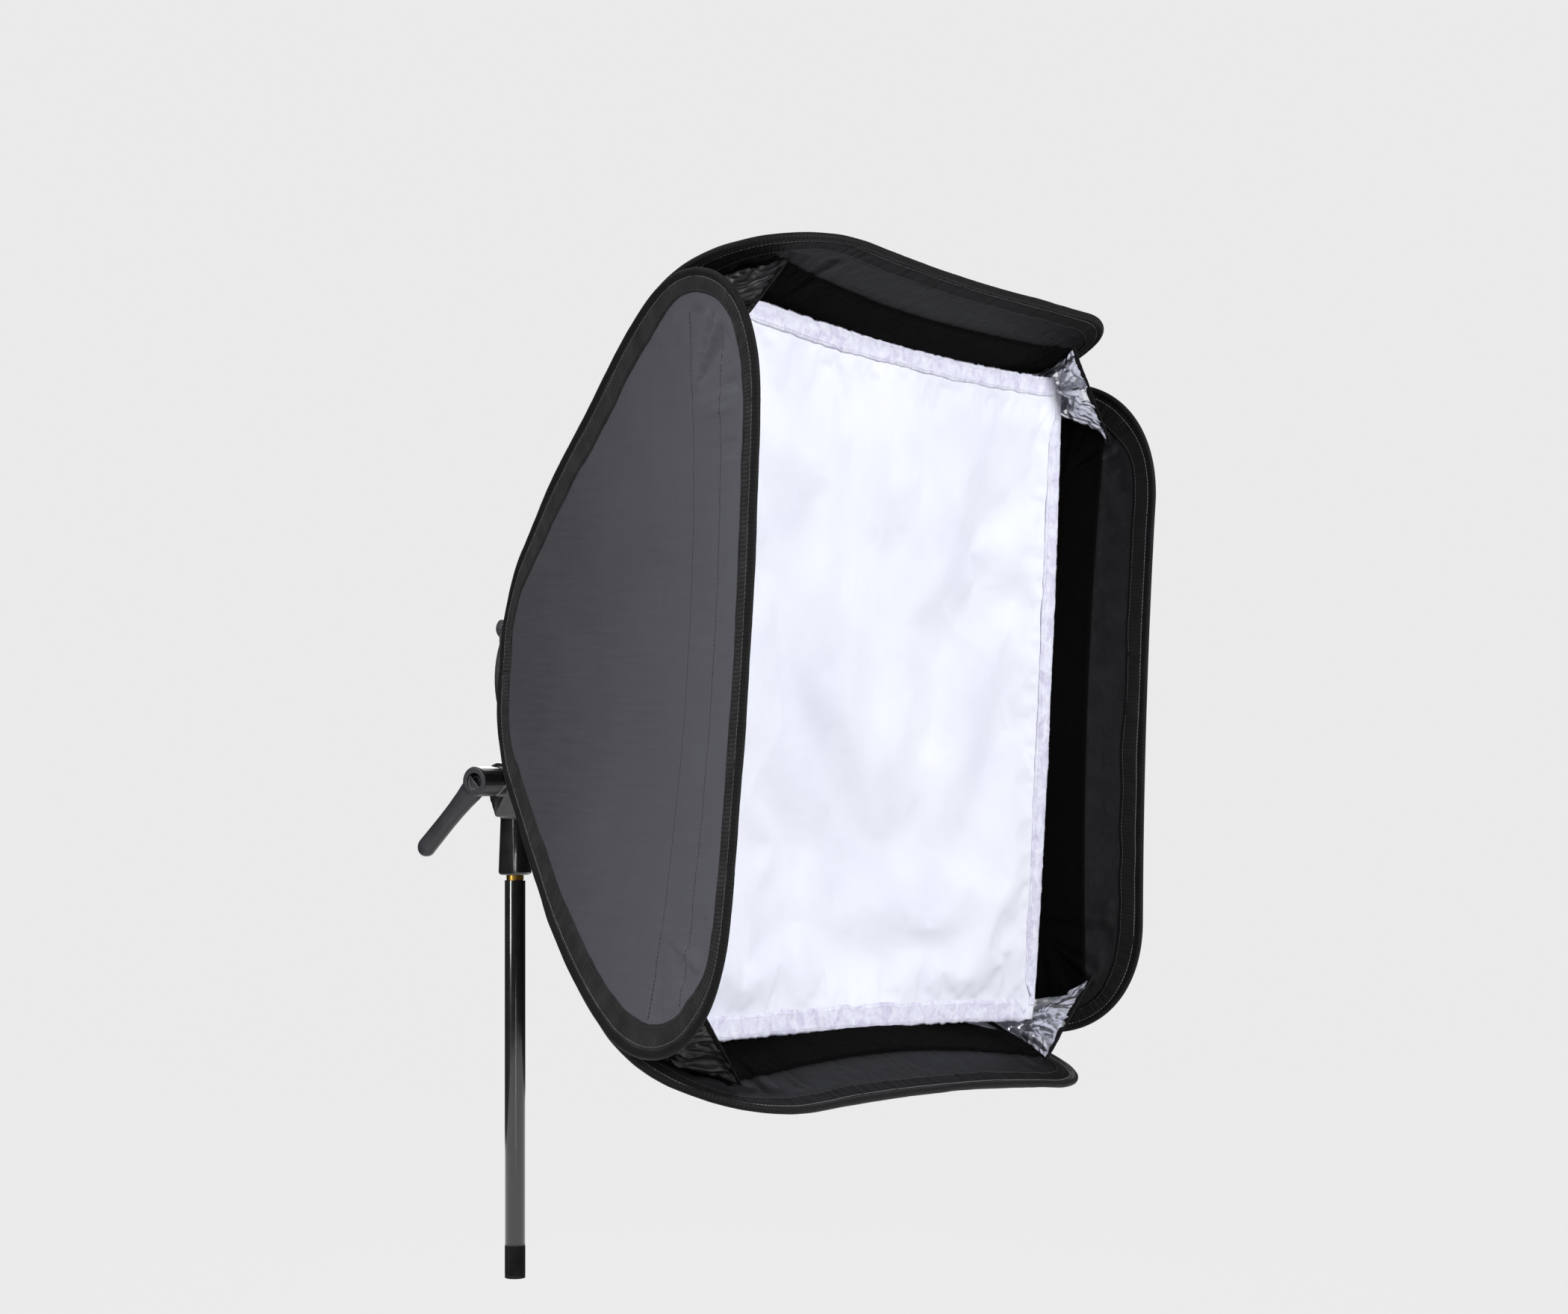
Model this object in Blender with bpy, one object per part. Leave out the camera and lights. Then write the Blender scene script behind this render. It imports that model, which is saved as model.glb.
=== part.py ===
"""Collapsible square softbox on a tilting clamp bracket, mounted on a light-stand tube.

Scene units are metres with +Z up. Lengths below are written in millimetres and are
scaled once, where a mesh is made. The origin is the centre of the tube's end plug and
the softbox faces -Y.

Three frames are used. STAND is the world frame. HEAD has its origin on the tilt axis.
SOFTBOX has its origin on the axis of the clamp ring. In HEAD and SOFTBOX a point is
(x, forward, up), where forward is -Y.
"""

import math

import bpy
import numpy as np

MM = 0.001

# Light-stand tube, spigot and the socket that sits on it
TUBE_R = 9.5
TUBE_BORE_R = 8.3
TUBE_TOP = 366.6
PLUG_FLANGE = 3.0
PLUG_DEPTH = 18.0
SPIGOT_R = 8.0
SPIGOT_WAIST_R = 6.4
SPIGOT_BOTTOM = 325.0
SPIGOT_TOP = 410.0
TILT_HEIGHT = 457.8
SOCKET_DROP = 86.5
SOCKET_FOOT_R = 15.3
SOCKET_SHOULDER_R = 13.2
SOCKET_BORE_R = 8.3
LOCK_HEIGHT = -62.0
LOCK_SCREW_R = 3.0
LOCK_KNOB_R = 11.0

# Tilt joint
REST_TILT = math.radians(2.4)
KNUCKLE_R = 19.0
KNUCKLE_HALF = 8.4
DISC_R = 15.5
DISC_OUTER = 10.2
SLOT_HALF = 10.5
SLOT_R = 21.0
EAR_R = 17.0
EAR_OUTER = 24.0
BOSS_R = 13.0
BOSS_OUTER = 33.0
BOLT_R = 4.0
BOLT_BORE_R = 4.3
LEVER_INNER = 33.4
LEVER_FACE = 60.0
LEVER_HUB_R = 13.6
LEVER_REACH = 86.7
LEVER_ANGLE = math.radians(224.7)

# Neck, flash clamp and ring
NECK_HALF = 17.0
NECK_BACK = -3.0
RING_HEIGHT = 97.0
RING_BACK = 31.5
RING_FRONT = 39.3
RING_OUTER_R = 74.0
RING_INNER_R = 60.0
REBATE_R = 64.9
REBATE_BACK = 35.0
FINGER_FRONT = 42.2
FINGER_TIP_R = 61.2
FINGER_ANGLES = (23.0, 263.0)
RING_LOCK_ANGLE = 143.0
LOCK_R = 69.7
LOCK_PIN_R = 2.0
FRAME_BACK = 12.0
FRAME_FRONT = 31.2
FRAME_HALF = 46.0
FRAME_WALL = 6.0
FRAME_FOOT = 36.0
FRAME_TOP = 146.0
JAW_TOP = 134.0
JAW_KNOB_FOOT = 181.0
JAW_SCREW_FORWARD = 19.4
JAW_SCREW_R = 3.0

# Softbox shell: middle line of a panel and the ridge where two panels meet, each a
# cubic curve of (forward, distance from the axis)
SOFTBOX_ROLL = math.radians(2.4)
MIDDLE = ((44.0, 80.5), (143.0, 142.4), (321.6, 246.9), (480.0, 333.0))
RIDGE = ((44.0, 76.4), (207.8, 206.6), (312.8, 299.3), (480.0, 351.5))
RIDGE_CLEARANCE = 3.0
CORNER_LENGTH = 176.0
CORNER_FLAT = 194.0
CORNER_EASE = (0.58, 0.5)
NOSE_ROUND = 44.0
RIM_R = 3.0
PANEL_EDGE = 6.4
PANEL_THICK = 1.2
LAYER_GAP = 0.7
TAPE_WIDTH = 28.0
TAPE_THICK = 0.5
PILE_START = 102.0
PILE_END = 55.0
PILE_THICK = 2.0
GUSSET_START = 206.0
GUSSET_END = 48.0
GUSSET_THICK = 0.6
DIFFUSER_HALF = 279.5
DIFFUSER_FLARE = 33.7
DIFFUSER_FORWARD = 391.0
DIFFUSER_CHAMFER = 560.0
DIFFUSER_THICK = 0.8
HOOK_WIDTH = 22.0
HOOK_THICK = 1.0
COLLAR_THICK = 1.6
# (forward, half width, squareness) from the sleeve in the ring to the boot in the shell
COLLAR_STAGES = (
    (32.0, 58.8, 2.0),
    (43.2, 58.8, 2.0),
    (45.4, 62.0, 2.3),
    (47.4, 70.0, 3.0),
    (50.2, 77.0, 5.0),
    (64.0, 87.5, 8.0),
    (78.0, 96.5, 10.0),
)
HOOP_R = 62.3
HOOP_WIRE_R = 1.9
HOOP_FORWARD = 37.2

SIDES = ("left", "top", "right", "bottom")
CORNERS = ("top_left", "top_right", "bottom_right", "bottom_left")


# ---------------------------------------------------------------- scene and meshes
def clear_scene():
    for obj in list(bpy.data.objects):
        bpy.data.objects.remove(obj, do_unlink=True)


def make_materials():
    table = {
        "black_tube": ((0.01, 0.01, 0.011), 0.2, 0.0),
        "black_casting": ((0.012, 0.012, 0.013), 0.35, 0.0),
        "black_plastic": ((0.02, 0.02, 0.021), 0.45, 0.0),
        "steel": ((0.55, 0.56, 0.58), 0.3, 1.0),
        "brass": ((0.72, 0.5, 0.22), 0.3, 1.0),
        "rubber": ((0.03, 0.03, 0.03), 0.8, 0.0),
        "shell_nylon": ((0.055, 0.055, 0.065), 0.7, 0.0),
        "binding": ((0.015, 0.015, 0.016), 0.6, 0.0),
        "pile": ((0.004, 0.004, 0.004), 1.0, 0.0),
        "silver_nylon": ((0.6, 0.6, 0.62), 0.25, 1.0),
        "white_nylon": ((0.85, 0.86, 0.9), 0.8, 0.0),
        "white_hook": ((0.88, 0.88, 0.95), 0.9, 0.0),
    }
    made = {}
    for name, (colour, rough, metal) in table.items():
        material = bpy.data.materials.new(name)
        material.use_nodes = True
        shader = material.node_tree.nodes["Principled BSDF"]
        shader.inputs["Base Color"].default_value = (*colour, 1.0)
        shader.inputs["Roughness"].default_value = rough
        shader.inputs["Metallic"].default_value = metal
        made[name] = material
    return made


def empty(name, location=(0, 0, 0), rotation=(0, 0, 0), parent=None):
    obj = bpy.data.objects.new(name, None)
    bpy.context.scene.collection.objects.link(obj)
    obj.location = [value * MM for value in location]
    obj.rotation_euler = rotation
    obj.parent = parent
    return obj


def signed_volume(verts, faces):
    total = 0.0
    for face in faces:
        a = verts[face[0]]
        for one, two in zip(face[1:-1], face[2:]):
            total += float(np.dot(a, np.cross(verts[one], verts[two])))
    return total


def solid(verts, faces):
    """(verts, faces) with the faces turned to point outwards."""
    verts = np.asarray(verts, float)
    faces = [tuple(face) for face in faces]
    if signed_volume(verts, faces) < 0:
        faces = [face[::-1] for face in faces]
    return verts, faces


def place(name, shape, material, parent=None, origin=(0, 0, 0)):
    """One object whose mesh is the shape; origin is the object's own pivot."""
    verts, faces = shape
    pivot = np.asarray(origin, float)
    mesh = bpy.data.meshes.new(name)
    mesh.from_pydata(((verts - pivot) * MM).tolist(), [], faces)
    mesh.update()
    obj = bpy.data.objects.new(name, mesh)
    bpy.context.scene.collection.objects.link(obj)
    obj.location = pivot * MM
    obj.parent = parent
    if material:
        mesh.materials.append(material)
    return obj


def combine(obj, operation, *tools):
    """Boolean each (verts, faces) tool into the object and keep the result as its mesh."""
    for tool in tools:
        helper = place("helper", tool, None)
        helper.parent = obj.parent
        modifier = obj.modifiers.new("combine", "BOOLEAN")
        modifier.operation = operation
        modifier.solver = "EXACT"
        modifier.object = helper
        bpy.context.view_layer.update()
        graph = bpy.context.evaluated_depsgraph_get()
        result = bpy.data.meshes.new_from_object(obj.evaluated_get(graph))
        obj.modifiers.clear()
        bpy.data.objects.remove(helper, do_unlink=True)
        materials = list(obj.data.materials)
        obj.data = result
        result.materials.clear()
        for material in materials:
            result.materials.append(material)
    return obj


# ---------------------------------------------------------------- basic solids
def to_axes(u, v, along, axis):
    """A point from two cross-section coordinates and a distance along the axis.

    'x' takes (forward, up), 'forward' takes (x, up) and 'z' takes (x, forward)."""
    if axis == "x":
        return (along, -u, v)
    if axis == "forward":
        return (u, -along, v)
    return (u, -v, along)


def turned(profile, axis="z", centre=(0.0, 0.0), steps=24, start=0.0, end=360.0):
    """Solid of revolution of a closed (radius, along) profile, whole or a sector."""
    whole = abs(end - start) >= 360.0
    count = steps if whole else steps + 1
    angles = np.radians(np.linspace(start, end, steps + 1)[:count])
    verts = []
    rows = []
    for radius, along in profile:
        if radius < 1e-9:
            rows.append([len(verts)] * count)
            verts.append(to_axes(centre[0], centre[1], along, axis))
            continue
        rows.append(list(range(len(verts), len(verts) + count)))
        for angle in angles:
            u = centre[0] + radius * math.cos(angle)
            v = centre[1] + radius * math.sin(angle)
            verts.append(to_axes(u, v, along, axis))
    faces = []
    for one, two in zip(rows, rows[1:] + rows[:1]):
        for i in range(steps):
            j = (i + 1) % count
            loop = [one[i], one[j], two[j], two[i]]
            loop = [v for k, v in enumerate(loop) if v != loop[k - 1]]
            if len(loop) > 2:
                faces.append(loop)
    if not whole:
        faces.append([row[0] for row in rows])
        faces.append([row[-1] for row in rows][::-1])
    return solid(verts, faces)


def rod(radius, low, high, axis="z", centre=(0.0, 0.0), steps=24, chamfer=0.0):
    profile = [(0.0, low), (radius - chamfer, low), (radius, low + chamfer)]
    profile += [(radius, high - chamfer), (radius - chamfer, high), (0.0, high)]
    if chamfer == 0.0:
        profile = [(0.0, low), (radius, low), (radius, high), (0.0, high)]
    return turned(profile, axis, centre, steps)


def pipe(outer, inner, low, high, axis="z", centre=(0.0, 0.0), steps=24):
    profile = [(inner, low), (outer, low), (outer, high), (inner, high)]
    return turned(profile, axis, centre, steps)


def prism(outline, low, high, axis="x"):
    count = len(outline)
    verts = [to_axes(u, v, low, axis) for u, v in outline]
    verts += [to_axes(u, v, high, axis) for u, v in outline]
    faces = [list(range(count))[::-1], list(range(count, 2 * count))]
    for i in range(count):
        j = (i + 1) % count
        faces.append([i, j, j + count, i + count])
    return solid(verts, faces)


def block(x0, x1, f0, f1, z0, z1):
    return prism([(x0, z0), (x1, z0), (x1, z1), (x0, z1)], f0, f1, "forward")


def hull(points):
    """Convex outline round the points, anticlockwise."""
    points = sorted(set((round(u, 6), round(v, 6)) for u, v in points))

    def chain(ordered):
        kept = []
        for p in ordered:
            while len(kept) > 1 and turn(kept[-2], kept[-1], p) <= 1e-9:
                kept.pop()
            kept.append(p)
        return kept[:-1]

    return chain(points) + chain(points[::-1])


def turn(a, b, c):
    return (b[0] - a[0]) * (c[1] - a[1]) - (b[1] - a[1]) * (c[0] - a[0])


def circle(centre, radius, steps=16):
    return [
        (
            centre[0] + radius * math.cos(2 * math.pi * i / steps),
            centre[1] + radius * math.sin(2 * math.pi * i / steps),
        )
        for i in range(steps)
    ]


def swept(path, radius, sides=5, closed=True):
    """Round bar along a path of points."""
    path = np.asarray(path, float)
    count = len(path)
    if closed:
        tangents = np.roll(path, -1, 0) - np.roll(path, 1, 0)
    else:
        tangents = np.gradient(path, axis=0)
    tangents /= np.linalg.norm(tangents, axis=1)[:, None]
    verts = []
    side = np.cross(tangents[0], (0.3, 0.5, 0.81))
    for point, tangent in zip(path, tangents):
        side = side - tangent * np.dot(side, tangent)
        side /= np.linalg.norm(side)
        other = np.cross(tangent, side)
        for k in range(sides):
            angle = 2 * math.pi * k / sides
            verts.append(point + radius * (math.cos(angle) * side + math.sin(angle) * other))
    faces = []
    shift = 0
    if closed:
        gaps = [np.linalg.norm(verts[-sides + k] - verts[0]) for k in range(sides)]
        shift = int(np.argmin(gaps))
    for i in range(count if closed else count - 1):
        j = (i + 1) % count
        offset = (sides - shift) % sides if closed and j == 0 else 0
        for k in range(sides):
            a = i * sides + k
            b = i * sides + (k + 1) % sides
            c = j * sides + (k + 1 + offset) % sides
            d = j * sides + (k + offset) % sides
            faces.append([a, b, c, d])
    if not closed:
        faces.append(list(range(sides))[::-1])
        faces.append(list(range((count - 1) * sides, count * sides)))
    return solid(verts, faces)


def sheet(grid, thickness, looped=False, normal=None):
    """Closed slab of even thickness round a grid of points; looped joins its rows."""
    grid = np.asarray(grid, float)
    rows, columns = grid.shape[:2]
    if normal is None:
        normal = grid_normal(grid, looped)
    half = np.broadcast_to(normal, grid.shape) * thickness / 2
    verts = np.concatenate([(grid + half).reshape(-1, 3), (grid - half).reshape(-1, 3)])
    under = rows * columns
    faces = []
    for i in range(rows if looped else rows - 1):
        a = i * columns
        b = ((i + 1) % rows) * columns
        for j in range(columns - 1):
            faces.append([a + j, a + j + 1, b + j + 1, b + j])
            faces.append([under + b + j, under + b + j + 1, under + a + j + 1, under + a + j])
        for j in (0, columns - 1):
            edge = [a + j, b + j, under + b + j, under + a + j]
            faces.append(edge if j == 0 else edge[::-1])
    if not looped:
        for i in (0, rows - 1):
            for j in range(columns - 1):
                a = i * columns + j
                edge = [a + 1, a, under + a, under + a + 1]
                faces.append(edge if i == 0 else edge[::-1])
    return solid(verts, faces)


def grid_normal(grid, looped):
    if looped:
        along = np.roll(grid, -1, 0) - np.roll(grid, 1, 0)
    else:
        along = np.gradient(grid, axis=0)
    normal = np.cross(along, np.gradient(grid, axis=1))
    return normal / np.linalg.norm(normal, axis=2)[:, :, None]


# ---------------------------------------------------------------- softbox shell
def bezier(points, count):
    p0, p1, p2, p3 = (np.array(p, float) for p in points)
    u = np.linspace(0.0, 1.0, count)[:, None]
    v = 1 - u
    return v**3 * p0 + 3 * v**2 * u * p1 + 3 * v * u**2 * p2 + u**3 * p3


class Shell:
    """The four equal panels: s runs from nose to front edge, w sideways across a panel."""

    def __init__(self):
        middle = bezier(MIDDLE, 81)
        ridge = bezier(RIDGE, 161)
        steps = np.hypot(*np.diff(middle, axis=0).T)
        self.s = np.concatenate([[0.0], np.cumsum(steps)])
        self.forward = middle[:, 0]
        self.middle = middle[:, 1]
        self.ridge = np.interp(self.forward, ridge[:, 0], ridge[:, 1])
        self.length = self.s[-1]

    def ridge_at(self, s):
        return np.interp(s, self.s, self.ridge)

    def point(self, side, s, w, lift=0.0):
        """Points on a panel in SOFTBOX axes; lift moves them outwards along the normal."""
        s = np.asarray(s, float)
        w = np.asarray(w, float)
        step = 1.0
        here = self.local(s, w)
        along = self.local(s + step, w) - self.local(s - step, w)
        across = self.local(s, w + step) - self.local(s, w - step)
        normal = np.cross(along, across)
        normal /= np.linalg.norm(normal, axis=-1)[..., None]
        normal *= np.sign(normal[..., 1:2])
        here = here + normal * lift
        forward, out, w = here[..., 0], here[..., 1], here[..., 2]
        if side == "left":
            x, up = -out, w
        elif side == "top":
            x, up = w, out
        elif side == "right":
            x, up = out, -w
        else:
            x, up = -w, -out
        return np.stack([x, -forward, up], -1)

    def local(self, s, w):
        inside = np.clip(s, 0.0, self.length)
        slope = (self.middle[-1] - self.middle[-5]) / (self.s[-1] - self.s[-5])
        middle = np.interp(inside, self.s, self.middle) + (s - inside) * slope
        run = math.sqrt(1 - slope**2)
        forward = np.interp(inside, self.s, self.forward) + (s - inside) * run
        ridge = self.ridge_at(inside)
        out = middle + (ridge - middle) * (w / ridge) ** 2
        return np.stack([forward, out, np.broadcast_to(w, out.shape)], -1)

    def half_outline(self):
        """(s, w) along the finished edge of a panel, from the nose to the front."""
        corner = self.length - CORNER_LENGTH
        line = np.linspace(NOSE_ROUND, corner, 11)
        edge = self.ridge_at(line) - RIDGE_CLEARANCE
        slope = (edge[-1] - edge[-3]) / (line[-1] - line[-3])
        reach = CORNER_EASE[0] * CORNER_LENGTH
        drop = CORNER_EASE[1] * (edge[-1] + slope * CORNER_LENGTH - CORNER_FLAT)
        front = bezier(
            (
                (corner, edge[-1]),
                (corner + reach, edge[-1] + slope * reach),
                (self.length, CORNER_FLAT + drop),
                (self.length, CORNER_FLAT),
            ),
            11,
        )
        nose_edge = self.ridge_at(0.0) - RIDGE_CLEARANCE
        ease = 0.42 * NOSE_ROUND
        nose = bezier(
            (
                (0.0, nose_edge - NOSE_ROUND),
                (0.0, nose_edge - ease),
                (ease, self.ridge_at(ease) - RIDGE_CLEARANCE),
                (NOSE_ROUND, edge[0]),
            ),
            6,
        )
        flat = np.stack([np.full(4, self.length), np.linspace(CORNER_FLAT, 0.0, 5)[1:]], 1)
        start = np.array([[0.0, 0.0], [0.0, (nose_edge - NOSE_ROUND) / 2]])
        return np.concatenate([start, nose[:-1], np.stack([line, edge], 1), front[1:], flat])

    def inset_outline(self, inset):
        half = self.half_outline()
        mirrored = half[1:3] * (1, -1)
        tail = half[-3:-1] * (1, -1)
        run = np.concatenate([mirrored[::-1], half, tail[::-1]])
        tangent = np.gradient(run, axis=0)[2:-2]
        tangent /= np.linalg.norm(tangent, axis=1)[:, None]
        inward = np.stack([tangent[:, 1], -tangent[:, 0]], 1)
        moved = half + inward * inset
        moved[0, 1] = 0.0
        moved[-1, 1] = 0.0
        return moved

    def loop(self, inset):
        """The whole outline as a closed loop of (s, w)."""
        half = self.inset_outline(inset)
        return np.concatenate([half, half[-2:0:-1] * (1, -1)])

    def half_width(self, s, inset):
        """Half the width of a panel at s, for an edge moved in by inset."""
        half = self.inset_outline(inset)
        rising = half[2:-4]
        return np.interp(s, rising[:, 0], rising[:, 1])


def panel_grid(shell, side, s_values, half_widths, columns, lift=0.0):
    fractions = np.linspace(-1.0, 1.0, columns)
    s = np.repeat(np.asarray(s_values)[:, None], columns, 1)
    w = np.asarray(half_widths)[:, None] * fractions[None, :]
    return shell.point(side, s, w, lift)


def panel(shell, side):
    low = PANEL_EDGE
    high = shell.length - PANEL_EDGE
    u = np.linspace(0.0, 1.0, 16)
    s = low + (high - low) * (u - 0.11 * np.sin(2 * math.pi * u) / math.pi)
    half = shell.inset_outline(PANEL_EDGE)
    width = shell.half_width(s, PANEL_EDGE)
    width[0] = half[2, 1]
    width[-1] = CORNER_FLAT
    return sheet(panel_grid(shell, side, s, width, 11), PANEL_THICK)


def rim(shell, side):
    loop = shell.loop(RIM_R)
    return swept(shell.point(side, loop[:, 0], loop[:, 1]), RIM_R)


def edge_tape(shell, side):
    outer = shell.loop(PANEL_EDGE)
    inner = shell.loop(TAPE_WIDTH)
    lift = -(PANEL_THICK / 2 + LAYER_GAP + TAPE_THICK / 2)
    rows = [
        shell.point(side, edge[:, 0], edge[:, 1], lift)
        for edge in (outer, inner)
    ]
    return sheet(np.stack(rows, 1), TAPE_THICK, looped=True)


def pile_band(shell, side):
    s = np.linspace(shell.length - PILE_START, shell.length - PILE_END, 4)
    width = shell.half_width(s, TAPE_WIDTH) - 6.0
    lift = -(PANEL_THICK / 2 + LAYER_GAP + PILE_THICK / 2)
    return sheet(panel_grid(shell, side, s, width, 15, lift), PILE_THICK)


def gusset(shell, corner):
    """Loose web across a corner, between the seams on two neighbouring panels."""
    one = SIDES[CORNERS.index(corner)]
    two = SIDES[(CORNERS.index(corner) + 1) % 4]
    u = np.linspace(0.0, 1.0, 9)
    s = shell.length - GUSSET_START + u * (GUSSET_START - GUSSET_END)
    w = shell.half_width(s, 0.0) - 10.0 - 33.0 * u
    lift = -(PANEL_THICK / 2 + PILE_THICK + 2 * LAYER_GAP)
    first = shell.point(one, s, w, lift)
    second = shell.point(two, s, -w, lift)
    v = np.linspace(0.0, 1.0, 7)
    grid = first[:, None] * (1 - v)[None, :, None] + second[:, None] * v[None, :, None]
    return sheet(grid, GUSSET_THICK)


def diffuser_edge(w):
    return DIFFUSER_HALF + DIFFUSER_FLARE * (np.asarray(w) / 317.0) ** 2


def diffuser():
    q = np.linspace(-1.0, 1.0, 15)
    u, v = np.meshgrid(q, q, indexing="ij")
    x = u * diffuser_edge(v * DIFFUSER_HALF)
    up = v * diffuser_edge(u * DIFFUSER_HALF)
    over = np.maximum(np.abs(x) + np.abs(up) - DIFFUSER_CHAMFER, 0.0) / 2
    x = x - np.sign(x) * over
    up = up - np.sign(up) * over
    sag = 7.0 * (1 - u**2) * (1 - v**2)
    grid = np.stack([x, -(DIFFUSER_FORWARD - sag), up], -1)
    return sheet(grid, DIFFUSER_THICK, normal=(0.0, -1.0, 0.0))


def hook_tape(side):
    """Stiff tape round the border of the diffuser, on its front face."""
    w = np.linspace(-248.0, 248.0, 15)[:, None]
    depth = np.linspace(0.0, HOOK_WIDTH, 3)[None, :]
    out = diffuser_edge(w) - depth
    share = (out / diffuser_edge(w)) ** 2
    sag = 7.0 * (1 - share) * (1 - (w / DIFFUSER_HALF) ** 2)
    lift = DIFFUSER_THICK / 2 + 0.35 + HOOK_THICK / 2
    forward = DIFFUSER_FORWARD + lift - sag
    w = np.broadcast_to(w, out.shape)
    turns = {"left": (-out, w), "top": (w, out), "right": (out, -w), "bottom": (-w, -out)}
    x, up = turns[side]
    return sheet(np.stack([x, -forward, up], -1), HOOK_THICK)


def collar():
    """Sleeve held in the clamp ring, opening out into a square boot inside the panels."""
    angle = np.linspace(0.0, 2 * math.pi, 41)[:-1]
    rows = []
    for forward, half, power in COLLAR_STAGES:
        sides = np.abs(np.cos(angle)) ** power + np.abs(np.sin(angle)) ** power
        radius = half / sides ** (1 / power)
        ring = [radius * np.cos(angle), np.full(40, -forward), radius * np.sin(angle)]
        rows.append(np.stack(ring, -1))
    return sheet(np.stack(rows, 1), COLLAR_THICK, looped=True)


def build_softbox(axis, materials):
    shell = Shell()
    for side in SIDES:
        place(f"panel_{side}", panel(shell, side), materials["shell_nylon"], axis)
        place(f"rim_{side}", rim(shell, side), materials["binding"], axis)
        place(f"edge_tape_{side}", edge_tape(shell, side), materials["binding"], axis)
        place(f"pile_band_{side}", pile_band(shell, side), materials["pile"], axis)
        place(f"hook_tape_{side}", hook_tape(side), materials["white_hook"], axis)
    for corner in CORNERS:
        place(f"gusset_{corner}", gusset(shell, corner), materials["silver_nylon"], axis)
    place("diffuser", diffuser(), materials["white_nylon"], axis)
    place("mount_collar", collar(), materials["binding"], axis)
    angle = np.linspace(0.0, 2 * math.pi, 49)[:-1]
    forward = np.full(48, -HOOP_FORWARD)
    path = np.stack([HOOP_R * np.cos(angle), forward, HOOP_R * np.sin(angle)], -1)
    place("collar_hoop", swept(path, HOOP_WIRE_R), materials["steel"], axis)


# ---------------------------------------------------------------- stand and tilt joint
def build_stand(materials):
    plug = [(0.0, 0.0), (TUBE_R, 0.0), (TUBE_R, PLUG_FLANGE), (TUBE_BORE_R - 0.3, PLUG_FLANGE)]
    plug += [(TUBE_BORE_R - 0.3, PLUG_DEPTH), (0.0, PLUG_DEPTH)]
    place("tube_end_plug", turned(plug), materials["rubber"])
    tube = pipe(TUBE_R, TUBE_BORE_R, PLUG_FLANGE + 0.3, TUBE_TOP)
    place("stand_tube", tube, materials["black_tube"])
    waist = TILT_HEIGHT + LOCK_HEIGHT
    profile = [(0.0, SPIGOT_BOTTOM), (SPIGOT_R, SPIGOT_BOTTOM), (SPIGOT_R, waist - 6.0)]
    profile += [(SPIGOT_WAIST_R, waist - 4.4), (SPIGOT_WAIST_R, waist + 4.4)]
    profile += [(SPIGOT_R, waist + 6.0), (SPIGOT_R, SPIGOT_TOP - 1.0)]
    profile += [(SPIGOT_R - 1.0, SPIGOT_TOP), (0.0, SPIGOT_TOP)]
    place("spigot", turned(profile), materials["brass"])


def build_socket(pivot, materials):
    foot = -SOCKET_DROP
    body = [(0.0, foot), (SOCKET_FOOT_R - 2.0, foot), (SOCKET_FOOT_R, foot + 2.0)]
    body += [(SOCKET_SHOULDER_R, -27.0), (0.0, -27.0)]
    obj = place("stand_socket", turned(body), materials["black_casting"], pivot)
    legs = [(-12.6, -33.0), (12.6, -33.0)]
    yoke = prism(hull(circle((0.0, 0.0), EAR_R, 32) + legs), -EAR_OUTER, EAR_OUTER)
    boss = rod(BOSS_R, -BOSS_OUTER, -EAR_OUTER + 2.0, "x")
    combine(obj, "UNION", yoke, boss)
    slot = rod(SLOT_R, -SLOT_HALF, SLOT_HALF, "x", steps=32)
    bolt = rod(BOLT_BORE_R, -60.0, 60.0, "x", steps=20)
    bore = rod(SOCKET_BORE_R, foot - 5.0, -42.0)
    lock = rod(LOCK_SCREW_R + 0.3, 0.0, 30.0, "x", (0.0, LOCK_HEIGHT), 16)
    combine(obj, "DIFFERENCE", slot, bolt, bore, lock)


def build_stand_lock(pivot, materials):
    start = SPIGOT_WAIST_R + 0.4
    screw = rod(LOCK_SCREW_R, start, 31.0, "x", (0.0, LOCK_HEIGHT), 16, 0.6)
    axis_point = (0.0, 0.0, LOCK_HEIGHT)
    place("stand_lock_screw", screw, materials["steel"], pivot, axis_point)
    inner = LOCK_SCREW_R + 0.3
    profile = [(inner, 20.0), (6.5, 20.0), (6.5, 23.0), (LOCK_KNOB_R, 24.5)]
    profile += [(LOCK_KNOB_R, 34.0), (LOCK_KNOB_R - 1.5, 35.5), (0.0, 35.5)]
    profile += [(0.0, 31.4), (inner, 31.4)]
    knob = turned(profile, "x", (0.0, LOCK_HEIGHT))
    obj = place("stand_lock_knob", knob, materials["black_plastic"], pivot, axis_point)
    flutes = []
    for i in range(8):
        angle = 2 * math.pi * (i + 0.5) / 8
        centre = (12.6 * math.cos(angle), LOCK_HEIGHT + 12.6 * math.sin(angle))
        flutes.append(rod(2.8, 22.0, 38.0, "x", centre, 12))
    combine(obj, "DIFFERENCE", *flutes)


def build_tilt_hardware(pivot, materials):
    for name, sign in (("left", -1), ("right", 1)):
        low, high = sorted((sign * (KNUCKLE_HALF + 0.3), sign * DISC_OUTER))
        disc = pipe(DISC_R, BOLT_BORE_R, low, high, "x")
        place(f"friction_disc_{name}", disc, materials["rubber"], pivot)
    bolt = place("tilt_bolt", rod(BOLT_R, -41.6, 29.0, "x", steps=20), materials["steel"], pivot)
    head = prism(circle((0.0, 0.0), 7.6, 6), EAR_OUTER + 0.3, 29.8)
    combine(bolt, "UNION", head)


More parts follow.
